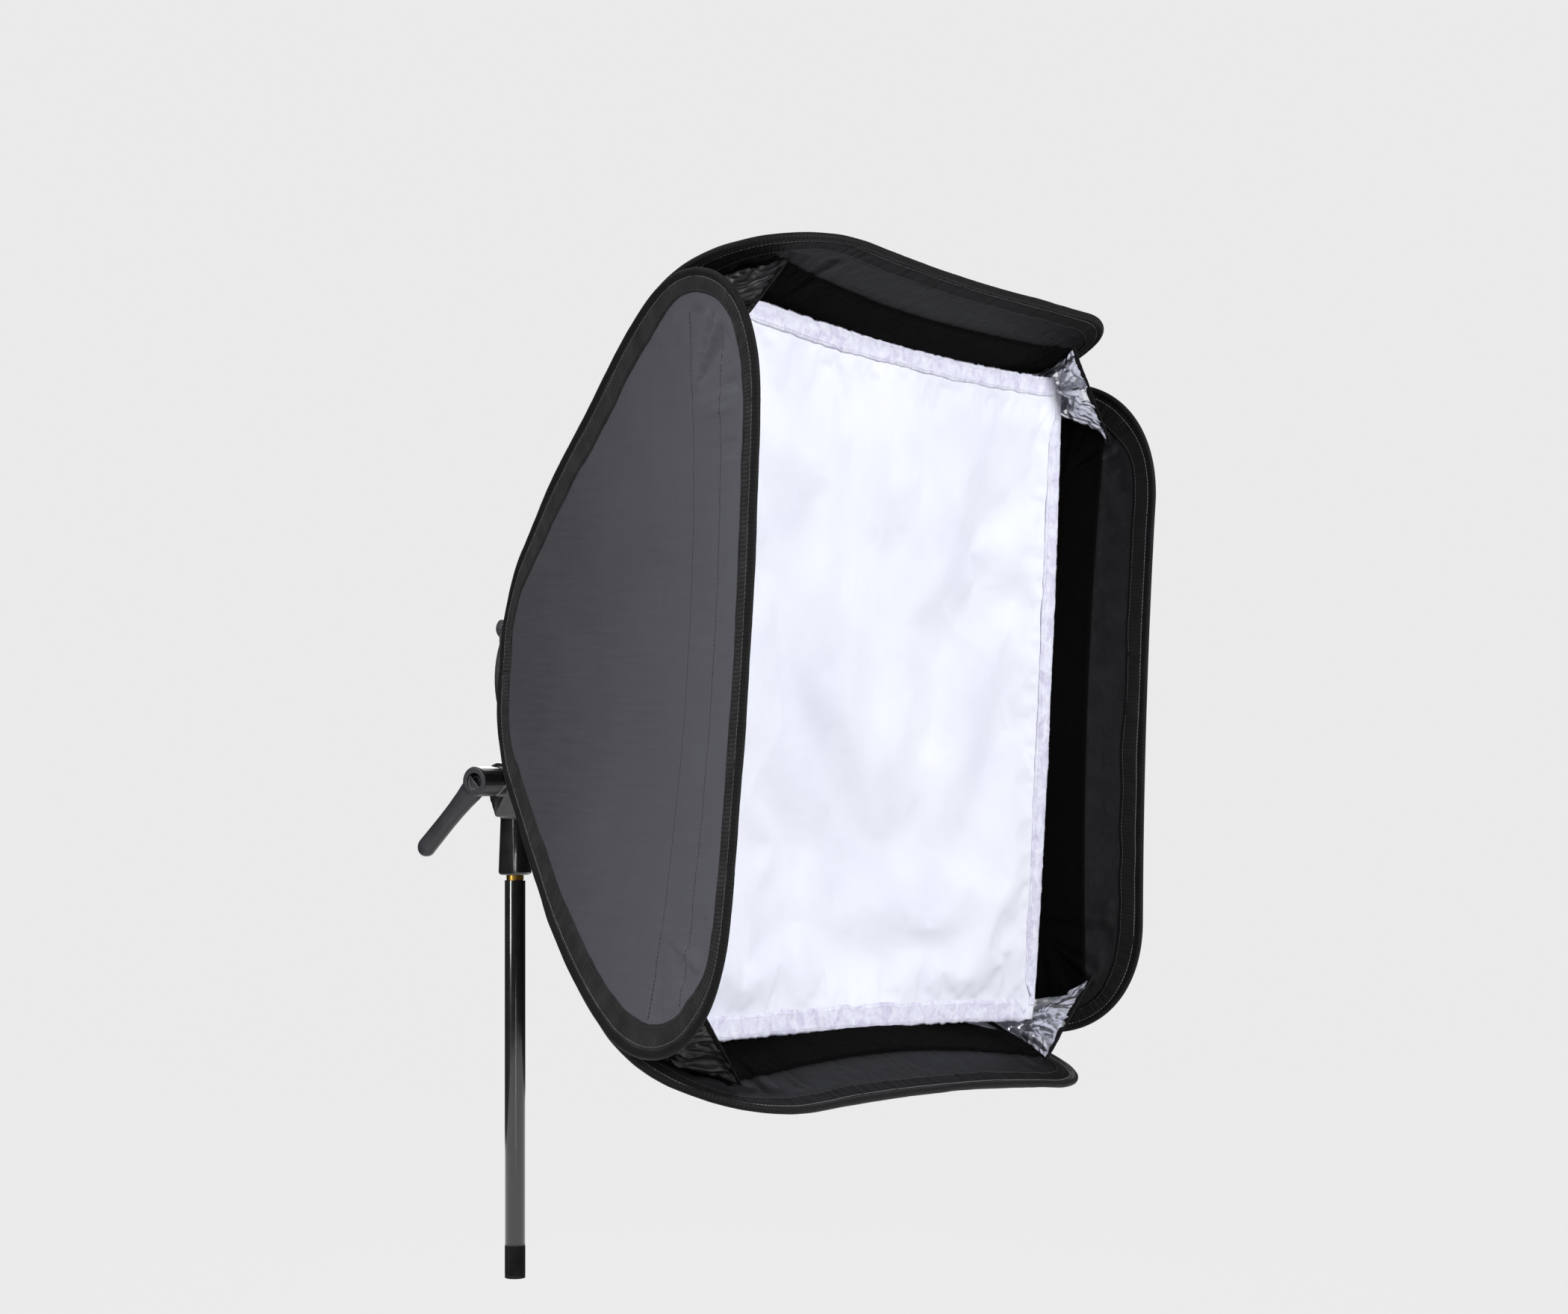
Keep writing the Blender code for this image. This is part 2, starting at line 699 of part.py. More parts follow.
def build_lever(pivot, materials):
    inner = LEVER_INNER + 0.6
    profile = [(BOLT_BORE_R, -inner), (6.6, -inner), (6.6, -46.7), (2.6, -46.7)]
    profile += [(2.6, -42.0), (BOLT_BORE_R, -42.0)]
    place("lever_insert", turned(profile, "x"), materials["steel"], pivot)
    screw = [(0.0, -42.2), (2.3, -42.2), (2.3, -54.0), (5.4, -54.0), (5.4, -57.2)]
    screw += [(2.6, -57.2), (2.6, -54.8), (0.0, -54.8)]
    place("lever_screw", turned(screw, "x", steps=20), materials["steel"], pivot)
    turns = 3.5
    angle = np.linspace(0.0, 2 * math.pi * turns, 36)
    travel = np.linspace(-49.5, -53.2, 36)
    coil = np.stack([travel, 4.1 * np.cos(angle), 4.1 * np.sin(angle)], -1)
    place("lever_spring", swept(coil, 0.4, 5, closed=False), materials["steel"], pivot)
    place_lever(pivot, materials)


def place_lever(pivot, materials):
    hub = [(6.9, -LEVER_INNER), (LEVER_HUB_R - 1.0, -LEVER_INNER)]
    hub += [(LEVER_HUB_R, -LEVER_INNER - 1.0), (LEVER_HUB_R, -LEVER_FACE + 1.2)]
    hub += [(LEVER_HUB_R - 1.2, -LEVER_FACE), (7.8, -LEVER_FACE), (7.8, -48.8)]
    hub += [(2.8, -48.8), (2.8, -47.0), (6.9, -47.0)]
    obj = place("tilt_lever", turned(hub, "x"), materials["black_plastic"], pivot)
    along = np.array([math.cos(LEVER_ANGLE), math.sin(LEVER_ANGLE)])
    # (distance from the hub, half width, outer face, inner face)
    stations = ((9.5, 9.0, -59.0, -44.5), (24.0, 6.6, -58.8, -46.5), (45.0, 6.2, -58.6, -47.5))
    stations += ((66.0, 6.8, -58.4, -48.0), (82.0, 7.4, -58.0, -48.2), (92.0, 5.2, -57.0, -49.2))
    obj = combine(obj, "UNION", lever_arm(stations, along))
    return obj


def lever_arm(stations, along):
    """Tapered bar with an eight-sided section at each station."""
    across = np.array([-along[1], along[0]])
    verts = []
    for distance, half, outer, inner in stations:
        middle = along * distance
        cut = 0.42
        ring = [(outer, cut), (outer, -cut), (outer + 3, -1), (inner - 3, -1)]
        ring += [(inner, -cut), (inner, cut), (inner - 3, 1), (outer + 3, 1)]
        for x, share in ring:
            u, v = middle + across * half * share
            verts.append(to_axes(u, v, x, "x"))
    faces = [list(range(8))]
    last = 8 * (len(stations) - 1)
    faces.append([last + 7 - k for k in range(8)])
    for i in range(len(stations) - 1):
        for k in range(8):
            m = (k + 1) % 8
            faces.append([8 * i + m, 8 * i + k, 8 * i + 8 + k, 8 * i + 8 + m])
    return solid(verts, faces)


# ---------------------------------------------------------------- head of the bracket
def on_ring(degrees, radius):
    angle = math.radians(degrees)
    return (radius * math.cos(angle), RING_HEIGHT + radius * math.sin(angle))


def finger(degrees, low, high):
    """Flat finger from the ring's front face inwards over the collar hoop."""
    tip = [on_ring(degrees - 2.6, FINGER_TIP_R), on_ring(degrees + 2.6, FINGER_TIP_R)]
    return prism(hull(circle(on_ring(degrees, LOCK_R), 4.4) + tip), low, high, "forward")


def build_neck(pivot, materials):
    knuckle = rod(KNUCKLE_R, -KNUCKLE_HALF, KNUCKLE_HALF, "x", steps=40)
    obj = place("tilt_neck", knuckle, materials["black_casting"], pivot)
    foot = FRAME_FOOT - 0.3
    side = [(NECK_BACK, 20.0), (RING_FRONT, 13.0), (RING_FRONT, 22.4)]
    side += [(FRAME_FRONT, 22.4), (FRAME_FRONT, foot), (NECK_BACK, foot)]
    neck = prism(side, -NECK_HALF, NECK_HALF)
    web = [(-10.0, 0.0), (15.0, 0.0), (17.0, 24.0), (-10.0, 24.0)]
    combine(obj, "UNION", prism(web, -KNUCKLE_HALF, KNUCKLE_HALF), neck)
    combine(obj, "DIFFERENCE", rod(BOLT_BORE_R, -30.0, 30.0, "x", steps=20))


def build_ring(pivot, materials):
    axis = (0.0, RING_HEIGHT)
    ring = pipe(RING_OUTER_R, RING_INNER_R, RING_BACK, RING_FRONT, "forward", axis, 64)
    obj = place("clamp_ring", ring, materials["black_casting"], pivot)
    for degrees in FINGER_ANGLES:
        combine(obj, "UNION", finger(degrees, RING_FRONT - 1.0, FINGER_FRONT))
    rebate = pipe(REBATE_R, 50.0, REBATE_BACK, RING_FRONT + 0.2, "forward", axis, 64)
    bore = rod(LOCK_PIN_R + 0.3, 20.0, 60.0, "forward", on_ring(RING_LOCK_ANGLE, LOCK_R), 16)
    combine(obj, "DIFFERENCE", rebate, bore)


def build_ring_lock(pivot, materials):
    """Quarter-turn lock: a finger in front of the ring, turned by a knob behind it."""
    centre = on_ring(RING_LOCK_ANGLE, LOCK_R)
    pivot_point = (centre[0], -(RING_BACK + RING_FRONT) / 2, centre[1])
    pin = rod(LOCK_PIN_R, RING_BACK - 7.0, FINGER_FRONT + 0.3, "forward", centre, 16)
    place("ring_lock_pin", pin, materials["steel"], pivot, pivot_point)
    dog = finger(RING_LOCK_ANGLE, RING_FRONT + 0.4, FINGER_FRONT)
    obj = place("ring_lock_finger", dog, materials["steel"], pivot, pivot_point)
    bore = rod(LOCK_PIN_R + 0.3, 30.0, 60.0, "forward", centre, 16)
    combine(obj, "DIFFERENCE", bore)
    back = RING_BACK - 9.5
    front = RING_BACK - 0.5
    inner = LOCK_PIN_R + 0.3
    profile = [(0.0, back), (7.0, back), (8.5, back + 1.5), (8.5, front - 1.5), (7.5, front)]
    profile += [(inner, front), (inner, RING_BACK - 7.3), (0.0, RING_BACK - 7.3)]
    knob = turned(profile, "forward", centre)
    obj = place("ring_lock_knob", knob, materials["black_plastic"], pivot, pivot_point)
    flutes = []
    for i in range(6):
        angle = 2 * math.pi * (i + 0.5) / 6
        middle = (centre[0] + 9.9 * math.cos(angle), centre[1] + 9.9 * math.sin(angle))
        flutes.append(rod(2.6, back - 2.0, front + 2.0, "forward", middle, 10))
    combine(obj, "DIFFERENCE", *flutes)


def build_flash_clamp(pivot, materials):
    inner = FRAME_HALF - FRAME_WALL
    frame = block(-FRAME_HALF, FRAME_HALF, FRAME_BACK, FRAME_FRONT, FRAME_FOOT, FRAME_TOP)
    obj = place("flash_frame", frame, materials["black_casting"], pivot)
    opening = block(-inner, inner, 0.0, 40.0, FRAME_FOOT + 8.0, FRAME_TOP - 7.0)
    middle = JAW_SCREW_FORWARD
    bore = rod(JAW_SCREW_R + 0.3, 120.0, 160.0, "z", (0.0, middle), 16)
    combine(obj, "DIFFERENCE", opening, bore)
    foot = FRAME_FOOT + 8.3
    pad_span = (FRAME_BACK + 1.5, FRAME_FRONT - 1.5)
    pad = block(-30.0, 30.0, *pad_span, foot, foot + 3.0)
    place("lower_pad", pad, materials["rubber"], pivot)
    pad = block(-30.0, 30.0, *pad_span, JAW_TOP - 9.3, JAW_TOP - 6.3)
    place("upper_pad", pad, materials["rubber"], pivot)
    jaw_span = (FRAME_BACK + 0.6, FRAME_FRONT - 0.6)
    jaw = block(0.4 - inner, inner - 0.4, *jaw_span, JAW_TOP - 6.0, JAW_TOP)
    jaw = place("upper_jaw", jaw, materials["black_casting"], pivot)
    combine(jaw, "DIFFERENCE", rod(3.3, 130.0, 140.0, "z", (0.0, middle), 16))
    pivot_point = (0.0, -middle, JAW_TOP)
    screw = rod(JAW_SCREW_R, 130.3, JAW_KNOB_FOOT + 9.0, "z", (0.0, middle), 16)
    place("jaw_screw", screw, materials["steel"], pivot, pivot_point)
    low = JAW_KNOB_FOOT
    profile = [(3.3, low), (9.5, low), (11.0, low + 1.5), (11.0, low + 11.5)]
    profile += [(9.5, low + 13.0), (0.0, low + 13.0), (0.0, low + 9.4), (3.3, low + 9.4)]
    knob = turned(profile, "z", (0.0, middle))
    knob = place("jaw_knob", knob, materials["black_plastic"], pivot, pivot_point)
    flutes = []
    for i in range(8):
        angle = 2 * math.pi * (i + 0.5) / 8
        centre = (12.6 * math.cos(angle), middle + 12.6 * math.sin(angle))
        flutes.append(rod(2.8, low - 2.0, low + 16.0, "z", centre, 12))
    combine(knob, "DIFFERENCE", *flutes)


def main():
    clear_scene()
    materials = make_materials()
    build_stand(materials)
    socket_axis = empty("socket_axis", (0.0, 0.0, TILT_HEIGHT))
    build_socket(socket_axis, materials)
    build_stand_lock(socket_axis, materials)
    build_tilt_hardware(socket_axis, materials)
    build_lever(socket_axis, materials)
    tilt_axis = empty("tilt_axis", (0.0, 0.0, TILT_HEIGHT), (REST_TILT, 0.0, 0.0))
    build_neck(tilt_axis, materials)
    build_ring(tilt_axis, materials)
    build_ring_lock(tilt_axis, materials)
    build_flash_clamp(tilt_axis, materials)
    roll = (0.0, SOFTBOX_ROLL, 0.0)
    softbox_axis = empty("softbox_axis", (0.0, 0.0, RING_HEIGHT), roll, tilt_axis)
    build_softbox(softbox_axis, materials)


main()
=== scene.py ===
"""Looks of a collapsible softbox on its tilting clamp bracket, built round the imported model.

The frame is in metres with +Z up and the softbox facing -Y. Shapes below are worked out in
millimetres in the softbox's own axes, (x, -forward, up) from the centre of the clamp ring,
and set into the frame by SOFTBOX.
"""

import math

import bmesh
import bpy
import numpy as np
from mathutils import Matrix, Vector


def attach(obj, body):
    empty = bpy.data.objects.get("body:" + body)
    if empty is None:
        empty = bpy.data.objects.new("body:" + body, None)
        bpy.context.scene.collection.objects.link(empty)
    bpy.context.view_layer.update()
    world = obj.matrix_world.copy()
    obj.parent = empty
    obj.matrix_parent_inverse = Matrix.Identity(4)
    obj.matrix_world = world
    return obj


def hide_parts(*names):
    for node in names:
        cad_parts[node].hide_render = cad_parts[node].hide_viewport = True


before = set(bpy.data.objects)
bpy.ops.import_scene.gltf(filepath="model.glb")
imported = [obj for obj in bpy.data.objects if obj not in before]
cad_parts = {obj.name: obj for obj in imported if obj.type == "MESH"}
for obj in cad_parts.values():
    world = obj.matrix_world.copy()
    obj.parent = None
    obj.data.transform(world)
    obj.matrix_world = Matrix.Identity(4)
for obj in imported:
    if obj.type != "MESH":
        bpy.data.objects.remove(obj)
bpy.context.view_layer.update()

MM = 0.001
LATTICE = 97
SIDES = ("left", "top", "right", "bottom")
CORNERS = ("top_left", "top_right", "bottom_right", "bottom_left")

# The softbox's place on the bracket
TILT_HEIGHT = 0.4578
RING_HEIGHT = 0.097
REST_TILT = math.radians(2.4)
SOFTBOX_ROLL = math.radians(2.4)
HEAD = Matrix.Translation((0, 0, TILT_HEIGHT)) @ Matrix.Rotation(REST_TILT, 4, "X")
SOFTBOX = HEAD @ Matrix.Translation((0, 0, RING_HEIGHT)) @ Matrix.Rotation(SOFTBOX_ROLL, 4, "Y")

# Shell of four panels: cubic curves of (forward, distance from the axis)
MIDDLE = ((44.0, 80.5), (143.0, 142.4), (321.6, 246.9), (480.0, 333.0))
RIDGE = ((44.0, 76.4), (207.8, 206.6), (312.8, 299.3), (480.0, 351.5))
RIDGE_CLEARANCE = 3.0
CORNER_LENGTH = 176.0
CORNER_FLAT = 194.0
CORNER_EASE = (0.58, 0.5)
NOSE_ROUND = 44.0
FRONT_CORNER = 330.0
FRONT_END = 504.0
SHELL_DEPTH = 440.0
HEM_WIDTH = 27.0
PILE_BEHIND = 9.0
# How each panel hangs: (lift in the middle, lift at w = HANG_AT, shorter front corner at +w,
# wider part way along the -w edge, the same for the +w edge), all at the front edge in mm
HANG_AT = 300.0
PART_WAY = 230.0
PART_WAY_SPREAD = 85.0
HANG = {
    "left": (0.0, 0.0, 0.0, 3.0, -9.0),
    "top": (5.0, 8.0, 20.0, -11.0, 0.0),
    "right": (-7.0, 18.0, 0.0, 0.0, 0.0),
    "bottom": (0.0, 0.0, 0.0, 0.0, 3.0),
}
# Distances behind the front edge at which the pile band and the corner webs begin and end
PILE_START = 102.0
PILE_END = 55.0
WEB_START = 206.0
WEB_END = 48.0
WEB_LONG = 160.0
WEB_WIDE = 150.0
WEB_FRAMES = 26
DIFFUSER_HALF = 281.0
DIFFUSER_WIDE = 570.0
DIFFUSER_CORNER = 317.0
DIFFUSER_FRAMES = 22
# Distance from its middle to each edge of the diffuser, how much more at the corners, and
# how much of that is lost towards the edge's lower or left end
DIFFUSER_REACH = {
    "left": (282.0, 12.0, 0.0),
    "top": (288.5, 13.0, 5.0),
    "right": (281.5, 6.1, -8.0),
    "bottom": (286.5, 6.0, -1.5),
}
DIFFUSER_FORWARD = 397.0
# How much further forward the middle of an edge lies, and how far the middle sags
DIFFUSER_AHEAD = {"top": 4.0, "right": 5.5, "bottom": 5.5}
DIFFUSER_SAG = 7.0
DIFFUSER_CHAMFER = 586.0
TAPE_WIDTH = {"left": 20.5, "top": 16.5, "right": 20.5, "bottom": 18.5}


# ---------------------------------------------------------------- numbers
def turns_of(count):
    """Evenly spaced angles of one full turn."""
    return 2 * math.pi * np.arange(count) / count


def smooth(x, low, high):
    t = np.clip((np.asarray(x, float) - low) / (high - low), 0.0, 1.0)
    return t * t * (3 - 2 * t)


def waves(a, b, seed, octaves=3, gain=0.5):
    """Smooth noise of about -1 to 1 over two coordinates, one lattice cell for each unit."""
    a, b = np.broadcast_arrays(np.asarray(a, float), np.asarray(b, float))
    total = np.zeros(a.shape)
    for k in range(octaves):
        lattice = np.random.default_rng(seed * 31 + k).uniform(-1, 1, (LATTICE, LATTICE))
        x, y = a * 2**k, b * 2**k
        i, j = np.floor(x).astype(int), np.floor(y).astype(int)
        u, v = smooth(x - i, 0, 1), smooth(y - j, 0, 1)
        i0, j0, i1, j1 = i % LATTICE, j % LATTICE, (i + 1) % LATTICE, (j + 1) % LATTICE
        low = lattice[i0, j0] * (1 - v) + lattice[i0, j1] * v
        high = lattice[i1, j0] * (1 - v) + lattice[i1, j1] * v
        total += gain**k * (low * (1 - u) + high * u)
    return total


def creases(a, b, seed, octaves=3):
    """Folds with a sharp ridge: up to 1 along the ridges and below 0 between them."""
    return 1 - 2.2 * np.abs(waves(a, b, seed, octaves))


def unit(vectors):
    """The vectors at length one, along their last axis."""
    return vectors / np.linalg.norm(vectors, axis=-1, keepdims=True)


def run_along(points):
    """Distance along a line of points, from 0 at its first."""
    steps = np.linalg.norm(np.diff(points, axis=0), axis=1)
    return np.concatenate([[0.0], np.cumsum(steps)])


def turned(side, out, across):
    """(x, up) on one side of the softbox, from the distances outwards and sideways there."""
    turns = {"left": (-out, across), "top": (across, out)}
    turns.update({"right": (out, -across), "bottom": (-across, -out)})
    return turns[side]


def bezier(points, count):
    p0, p1, p2, p3 = (np.array(p, float) for p in points)
    u = np.linspace(0.0, 1.0, count)[:, None]
    v = 1 - u
    return v**3 * p0 + 3 * v**2 * u * p1 + 3 * v * u**2 * p2 + u**3 * p3


# ---------------------------------------------------------------- meshes
def add_mesh(name, verts, faces, materials, uvs=None, slots=None, flat=False):
    """Mesh object from points in metres; uvs has one (u, v) for each vertex."""
    mesh = bpy.data.meshes.new(name)
    mesh.from_pydata(np.asarray(verts, float).tolist(), [], [tuple(f) for f in faces])
    for material in materials:
        mesh.materials.append(material)
    if uvs is not None:
        layer = mesh.uv_layers.new(name="UVMap")
        corner = np.zeros(len(mesh.loops), np.int32)
        mesh.loops.foreach_get("vertex_index", corner)
        layer.data.foreach_set("uv", np.asarray(uvs, np.float32)[corner].ravel())
    if slots is not None:
        mesh.polygons.foreach_set("material_index", np.asarray(slots, np.int32))
    mesh.polygons.foreach_set("use_smooth", [not flat] * len(mesh.polygons))
    mesh.update()
    obj = bpy.data.objects.new(name, mesh)
    bpy.context.scene.collection.objects.link(obj)
    return obj


def in_frame(points):
    """Softbox millimetres to frame metres."""
    points = np.asarray(points, float)
    flat = points.reshape(-1, 3) * MM
    matrix = np.array(SOFTBOX)
    return (flat @ matrix[:3, :3].T + matrix[:3, 3]).reshape(points.shape)


def grid_faces(rows, columns, start=0, looped_rows=False, looped_columns=False):
    i = np.arange(rows if looped_rows else rows - 1)[:, None]
    j = np.arange(columns if looped_columns else columns - 1)[None, :]
    a = start + i * columns + j
    b = start + i * columns + (j + 1) % columns
    c = start + ((i + 1) % rows) * columns + (j + 1) % columns
    d = start + ((i + 1) % rows) * columns + j
    return np.stack([a, b, c, d], -1).reshape(-1, 4)


def slab(name, outer, inner, materials, uv, inner_slot=None):
    """Closed sheet between two grids of softbox points. inner_slot gives each inner face
    its material."""
    rows, columns = outer.shape[:2]
    count = rows * columns
    verts = np.concatenate([outer.reshape(-1, 3), inner.reshape(-1, 3)])
    top = grid_faces(rows, columns)
    under = grid_faces(rows, columns, count)[:, ::-1]
    ring = [(0, j) for j in range(columns)] + [(i, columns - 1) for i in range(1, rows)]
    ring += [(rows - 1, j) for j in range(columns - 2, -1, -1)]
    ring += [(i, 0) for i in range(rows - 2, 0, -1)]
    ring = np.array([i * columns + j for i, j in ring])
    ahead = np.roll(ring, -1)
    edge = np.stack([ahead, ring, ring + count, ahead + count], 1)
    faces = np.concatenate([top, under, edge])
    slots = np.zeros(len(faces), int)
    if inner_slot is not None:
        slots[len(top):len(top) + len(under)] = np.asarray(inner_slot).ravel()
    uvs = np.concatenate([uv.reshape(-1, 2)] * 2) * MM
    verts = in_frame(verts)
    obj = add_mesh(name, verts, faces, materials, uvs, slots)
    face_outwards(obj)
    return obj


def face_outwards(obj):
    bm = bmesh.new()
    bm.from_mesh(obj.data)
    if bm.calc_volume(signed=True) < 0:
        bmesh.ops.reverse_faces(bm, faces=bm.faces)
        bm.to_mesh(obj.data)
    bm.free()


ODD_WAY = (0.31, 0.52, 0.80)  # a direction that no stitch runs along


def tubes(name, paths, radius, material):
    """Round bars along several paths of frame points, joined in one mesh."""
    sides = 5
    angle = turns_of(sides)
    verts, faces, uvs = [], [], []
    for path in paths:
        tangent = unit(np.gradient(path, axis=0))
        side = unit(np.cross(tangent, ODD_WAY))
        other = np.cross(tangent, side)
        ring = path[:, None] + radius * (
            np.cos(angle)[None, :, None] * side[:, None]
            + np.sin(angle)[None, :, None] * other[:, None]
        )
        start = len(verts)
        verts.extend(ring.reshape(-1, 3))
        uvs.extend((s, k / sides * radius * 6) for s in run_along(path) for k in range(sides))
        faces.extend(grid_faces(len(path), sides, start, looped_columns=True))
        last = start + (len(path) - 1) * sides
        faces.append(range(start, start + sides)[::-1])
        faces.append(range(last, last + sides))
    return add_mesh(name, verts, faces, [material], uvs)


def dashes(points, pitch, length):
    """Short straight runs spaced along a line of frame points, one for each stitch."""
    run = run_along(points)
    made = []
    for k in range(int(run[-1] / pitch)):
        at = k * pitch + np.array([0.0, 0.18, 0.82, 1.0]) * length
        made.append(np.stack([np.interp(at, run, points[:, c]) for c in range(3)], 1))
    return made


# ---------------------------------------------------------------- shell
class Shell:
    """The four equal panels: s runs from nose to front edge, w sideways across a panel."""

    def __init__(self):
        middle = bezier(MIDDLE, 161)
        ridge = bezier(RIDGE, 321)
        self.s = run_along(middle)
        self.forward = middle[:, 0]
        self.middle = middle[:, 1]
        self.ridge = np.interp(self.forward, ridge[:, 0], ridge[:, 1])
        self.length = self.s[-1]
        self.edge, self.inward, self.run = self.outline()

    def ridge_at(self, s):
        return np.interp(s, self.s, self.ridge)

    def local(self, s, w, side):
        """(forward, outwards, sideways) on a panel, with the way it hangs worked in."""
        lift, lean, cut, below, above = HANG[side]
        front = smooth(s, FRONT_CORNER, FRONT_END) * smooth(w, 60, HANG_AT)
        part_way = np.exp(-(((s - PART_WAY) / PART_WAY_SPREAD) ** 2))
        s = s - cut * 0.5 * front
        w = w - cut * front
        w = w - below * part_way * smooth(-w, 0, 180) + above * part_way * smooth(w, 0, 180)
        inside = np.clip(s, 0.0, self.length)
        slope = (self.middle[-1] - self.middle[-5]) / (self.s[-1] - self.s[-5])
        middle = np.interp(inside, self.s, self.middle) + (s - inside) * slope
        over = math.sqrt(1 - slope**2)
        forward = np.interp(inside, self.s, self.forward) + (s - inside) * over
        ridge = self.ridge_at(inside)
        out = middle + (ridge - middle) * (w / ridge) ** 2
        out = out + ((forward - MIDDLE[0][0]) / SHELL_DEPTH) ** 2 * (lift + lean * w / HANG_AT)
        return np.stack([forward, out, np.broadcast_to(w, out.shape)], -1)

    def point(self, side, s, w, lift=0.0):
        """Softbox points on a panel; lift moves them outwards along the normal."""
        s, w, lift = np.broadcast_arrays(
            np.asarray(s, float), np.asarray(w, float), np.asarray(lift, float)
        )
        step = 2.0
        here = self.local(s, w, side)
        along = self.local(s + step, w, side) - self.local(s - step, w, side)
        across = self.local(s, w + step, side) - self.local(s, w - step, side)
        normal = unit(np.cross(along, across))
        here = here + normal * np.sign(normal[..., 1:2]) * lift[..., None]
        x, up = turned(side, here[..., 1], here[..., 2])
        return np.stack([x, -here[..., 0], up], -1)

    def half_outline(self):
        corner = self.length - CORNER_LENGTH
        line = np.linspace(NOSE_ROUND, corner, 60)
        edge = self.ridge_at(line) - RIDGE_CLEARANCE
        slope = (edge[-1] - edge[-8]) / (line[-1] - line[-8])
        reach = CORNER_EASE[0] * CORNER_LENGTH
        drop = CORNER_EASE[1] * (edge[-1] + slope * CORNER_LENGTH - CORNER_FLAT)
        front = bezier(
            (
                (corner, edge[-1]),
                (corner + reach, edge[-1] + slope * reach),
                (self.length, CORNER_FLAT + drop),
                (self.length, CORNER_FLAT),
            ),
            60,
        )
        nose_edge = self.ridge_at(0.0) - RIDGE_CLEARANCE
        ease = 0.42 * NOSE_ROUND
        nose = bezier(
            (
                (0.0, nose_edge - NOSE_ROUND),
                (0.0, nose_edge - ease),
                (ease, self.ridge_at(ease) - RIDGE_CLEARANCE),
                (NOSE_ROUND, edge[0]),
            ),
            30,
        )
        flat = np.stack([np.full(12, self.length), np.linspace(CORNER_FLAT, 0.0, 13)[1:]], 1)
        start = np.stack([np.zeros(3), np.linspace(0.0, nose_edge - NOSE_ROUND, 4)[:3]], 1)
        return np.concatenate([start, nose, np.stack([line, edge], 1)[1:], front[1:], flat])

    def outline(self, pitch=1.7):
        """Closed, evenly spaced edge of a panel with its inward direction and arc length."""
        half = self.half_outline()
        loop = np.concatenate([half, half[-2:0:-1] * (1, -1)])
        closed = np.concatenate([loop, loop[:1]])
        run = run_along(closed)
        count = int(run[-1] / pitch)
        at = np.arange(count) * run[-1] / count
        edge = np.stack([np.interp(at, run, closed[:, c]) for c in range(2)], 1)
        for _ in range(6):
            edge = (np.roll(edge, 1, 0) + 2 * edge + np.roll(edge, -1, 0)) / 4
        tangent = unit(np.roll(edge, -2, 0) - np.roll(edge, 2, 0))
        inward = np.stack([tangent[:, 1], -tangent[:, 0]], 1)
        if np.sum(inward[0] * (1.0, 0.0)) < 0:
            inward = -inward
        return edge, inward, at

    def inset(self, distance):
        """Edge line moved inwards, as (s, w)."""
        return self.edge + self.inward * distance

    def half_width(self, s, distance):
        """Half width of a panel at s, for an edge moved in by a distance."""
        line = self.inset(distance)
        line = line[line[:, 1] > 0]
        line = line[np.argsort(line[:, 0])]
        return np.interp(s, line[:, 0], line[:, 1])

    def edge_distance(self, s, w):
        """(distance to the edge, arc length of the nearest edge point) at each (s, w)."""
        points = np.stack([np.ravel(s), np.ravel(w)], 1)
        edge = self.edge[::4]
        run = self.run[::4]
        distance = np.zeros(len(points))
        nearest = np.zeros(len(points))
        for begin in range(0, len(points), 4000):
            part = points[begin:begin + 4000]
            gap = np.hypot(*(part[:, None] - edge[None]).transpose(2, 0, 1))
            index = gap.argmin(1)
            distance[begin:begin + 4000] = gap[np.arange(len(part)), index]
            nearest[begin:begin + 4000] = run[index]
        return distance.reshape(np.shape(s)), nearest.reshape(np.shape(s))


shell = Shell()
FRONT = shell.length
HEM_EDGE = shell.outline(0.85)


# ---------------------------------------------------------------- materials
def rgb(text):
    """Linear colour from a web colour."""
    values = [int(text[i:i + 2], 16) / 255 for i in (1, 3, 5)]
    return [v / 12.92 if v <= 0.04045 else ((v + 0.055) / 1.055) ** 2.4 for v in values] + [1.0]


BANDS = 0.314  # scale of a wave texture with one band in each metre


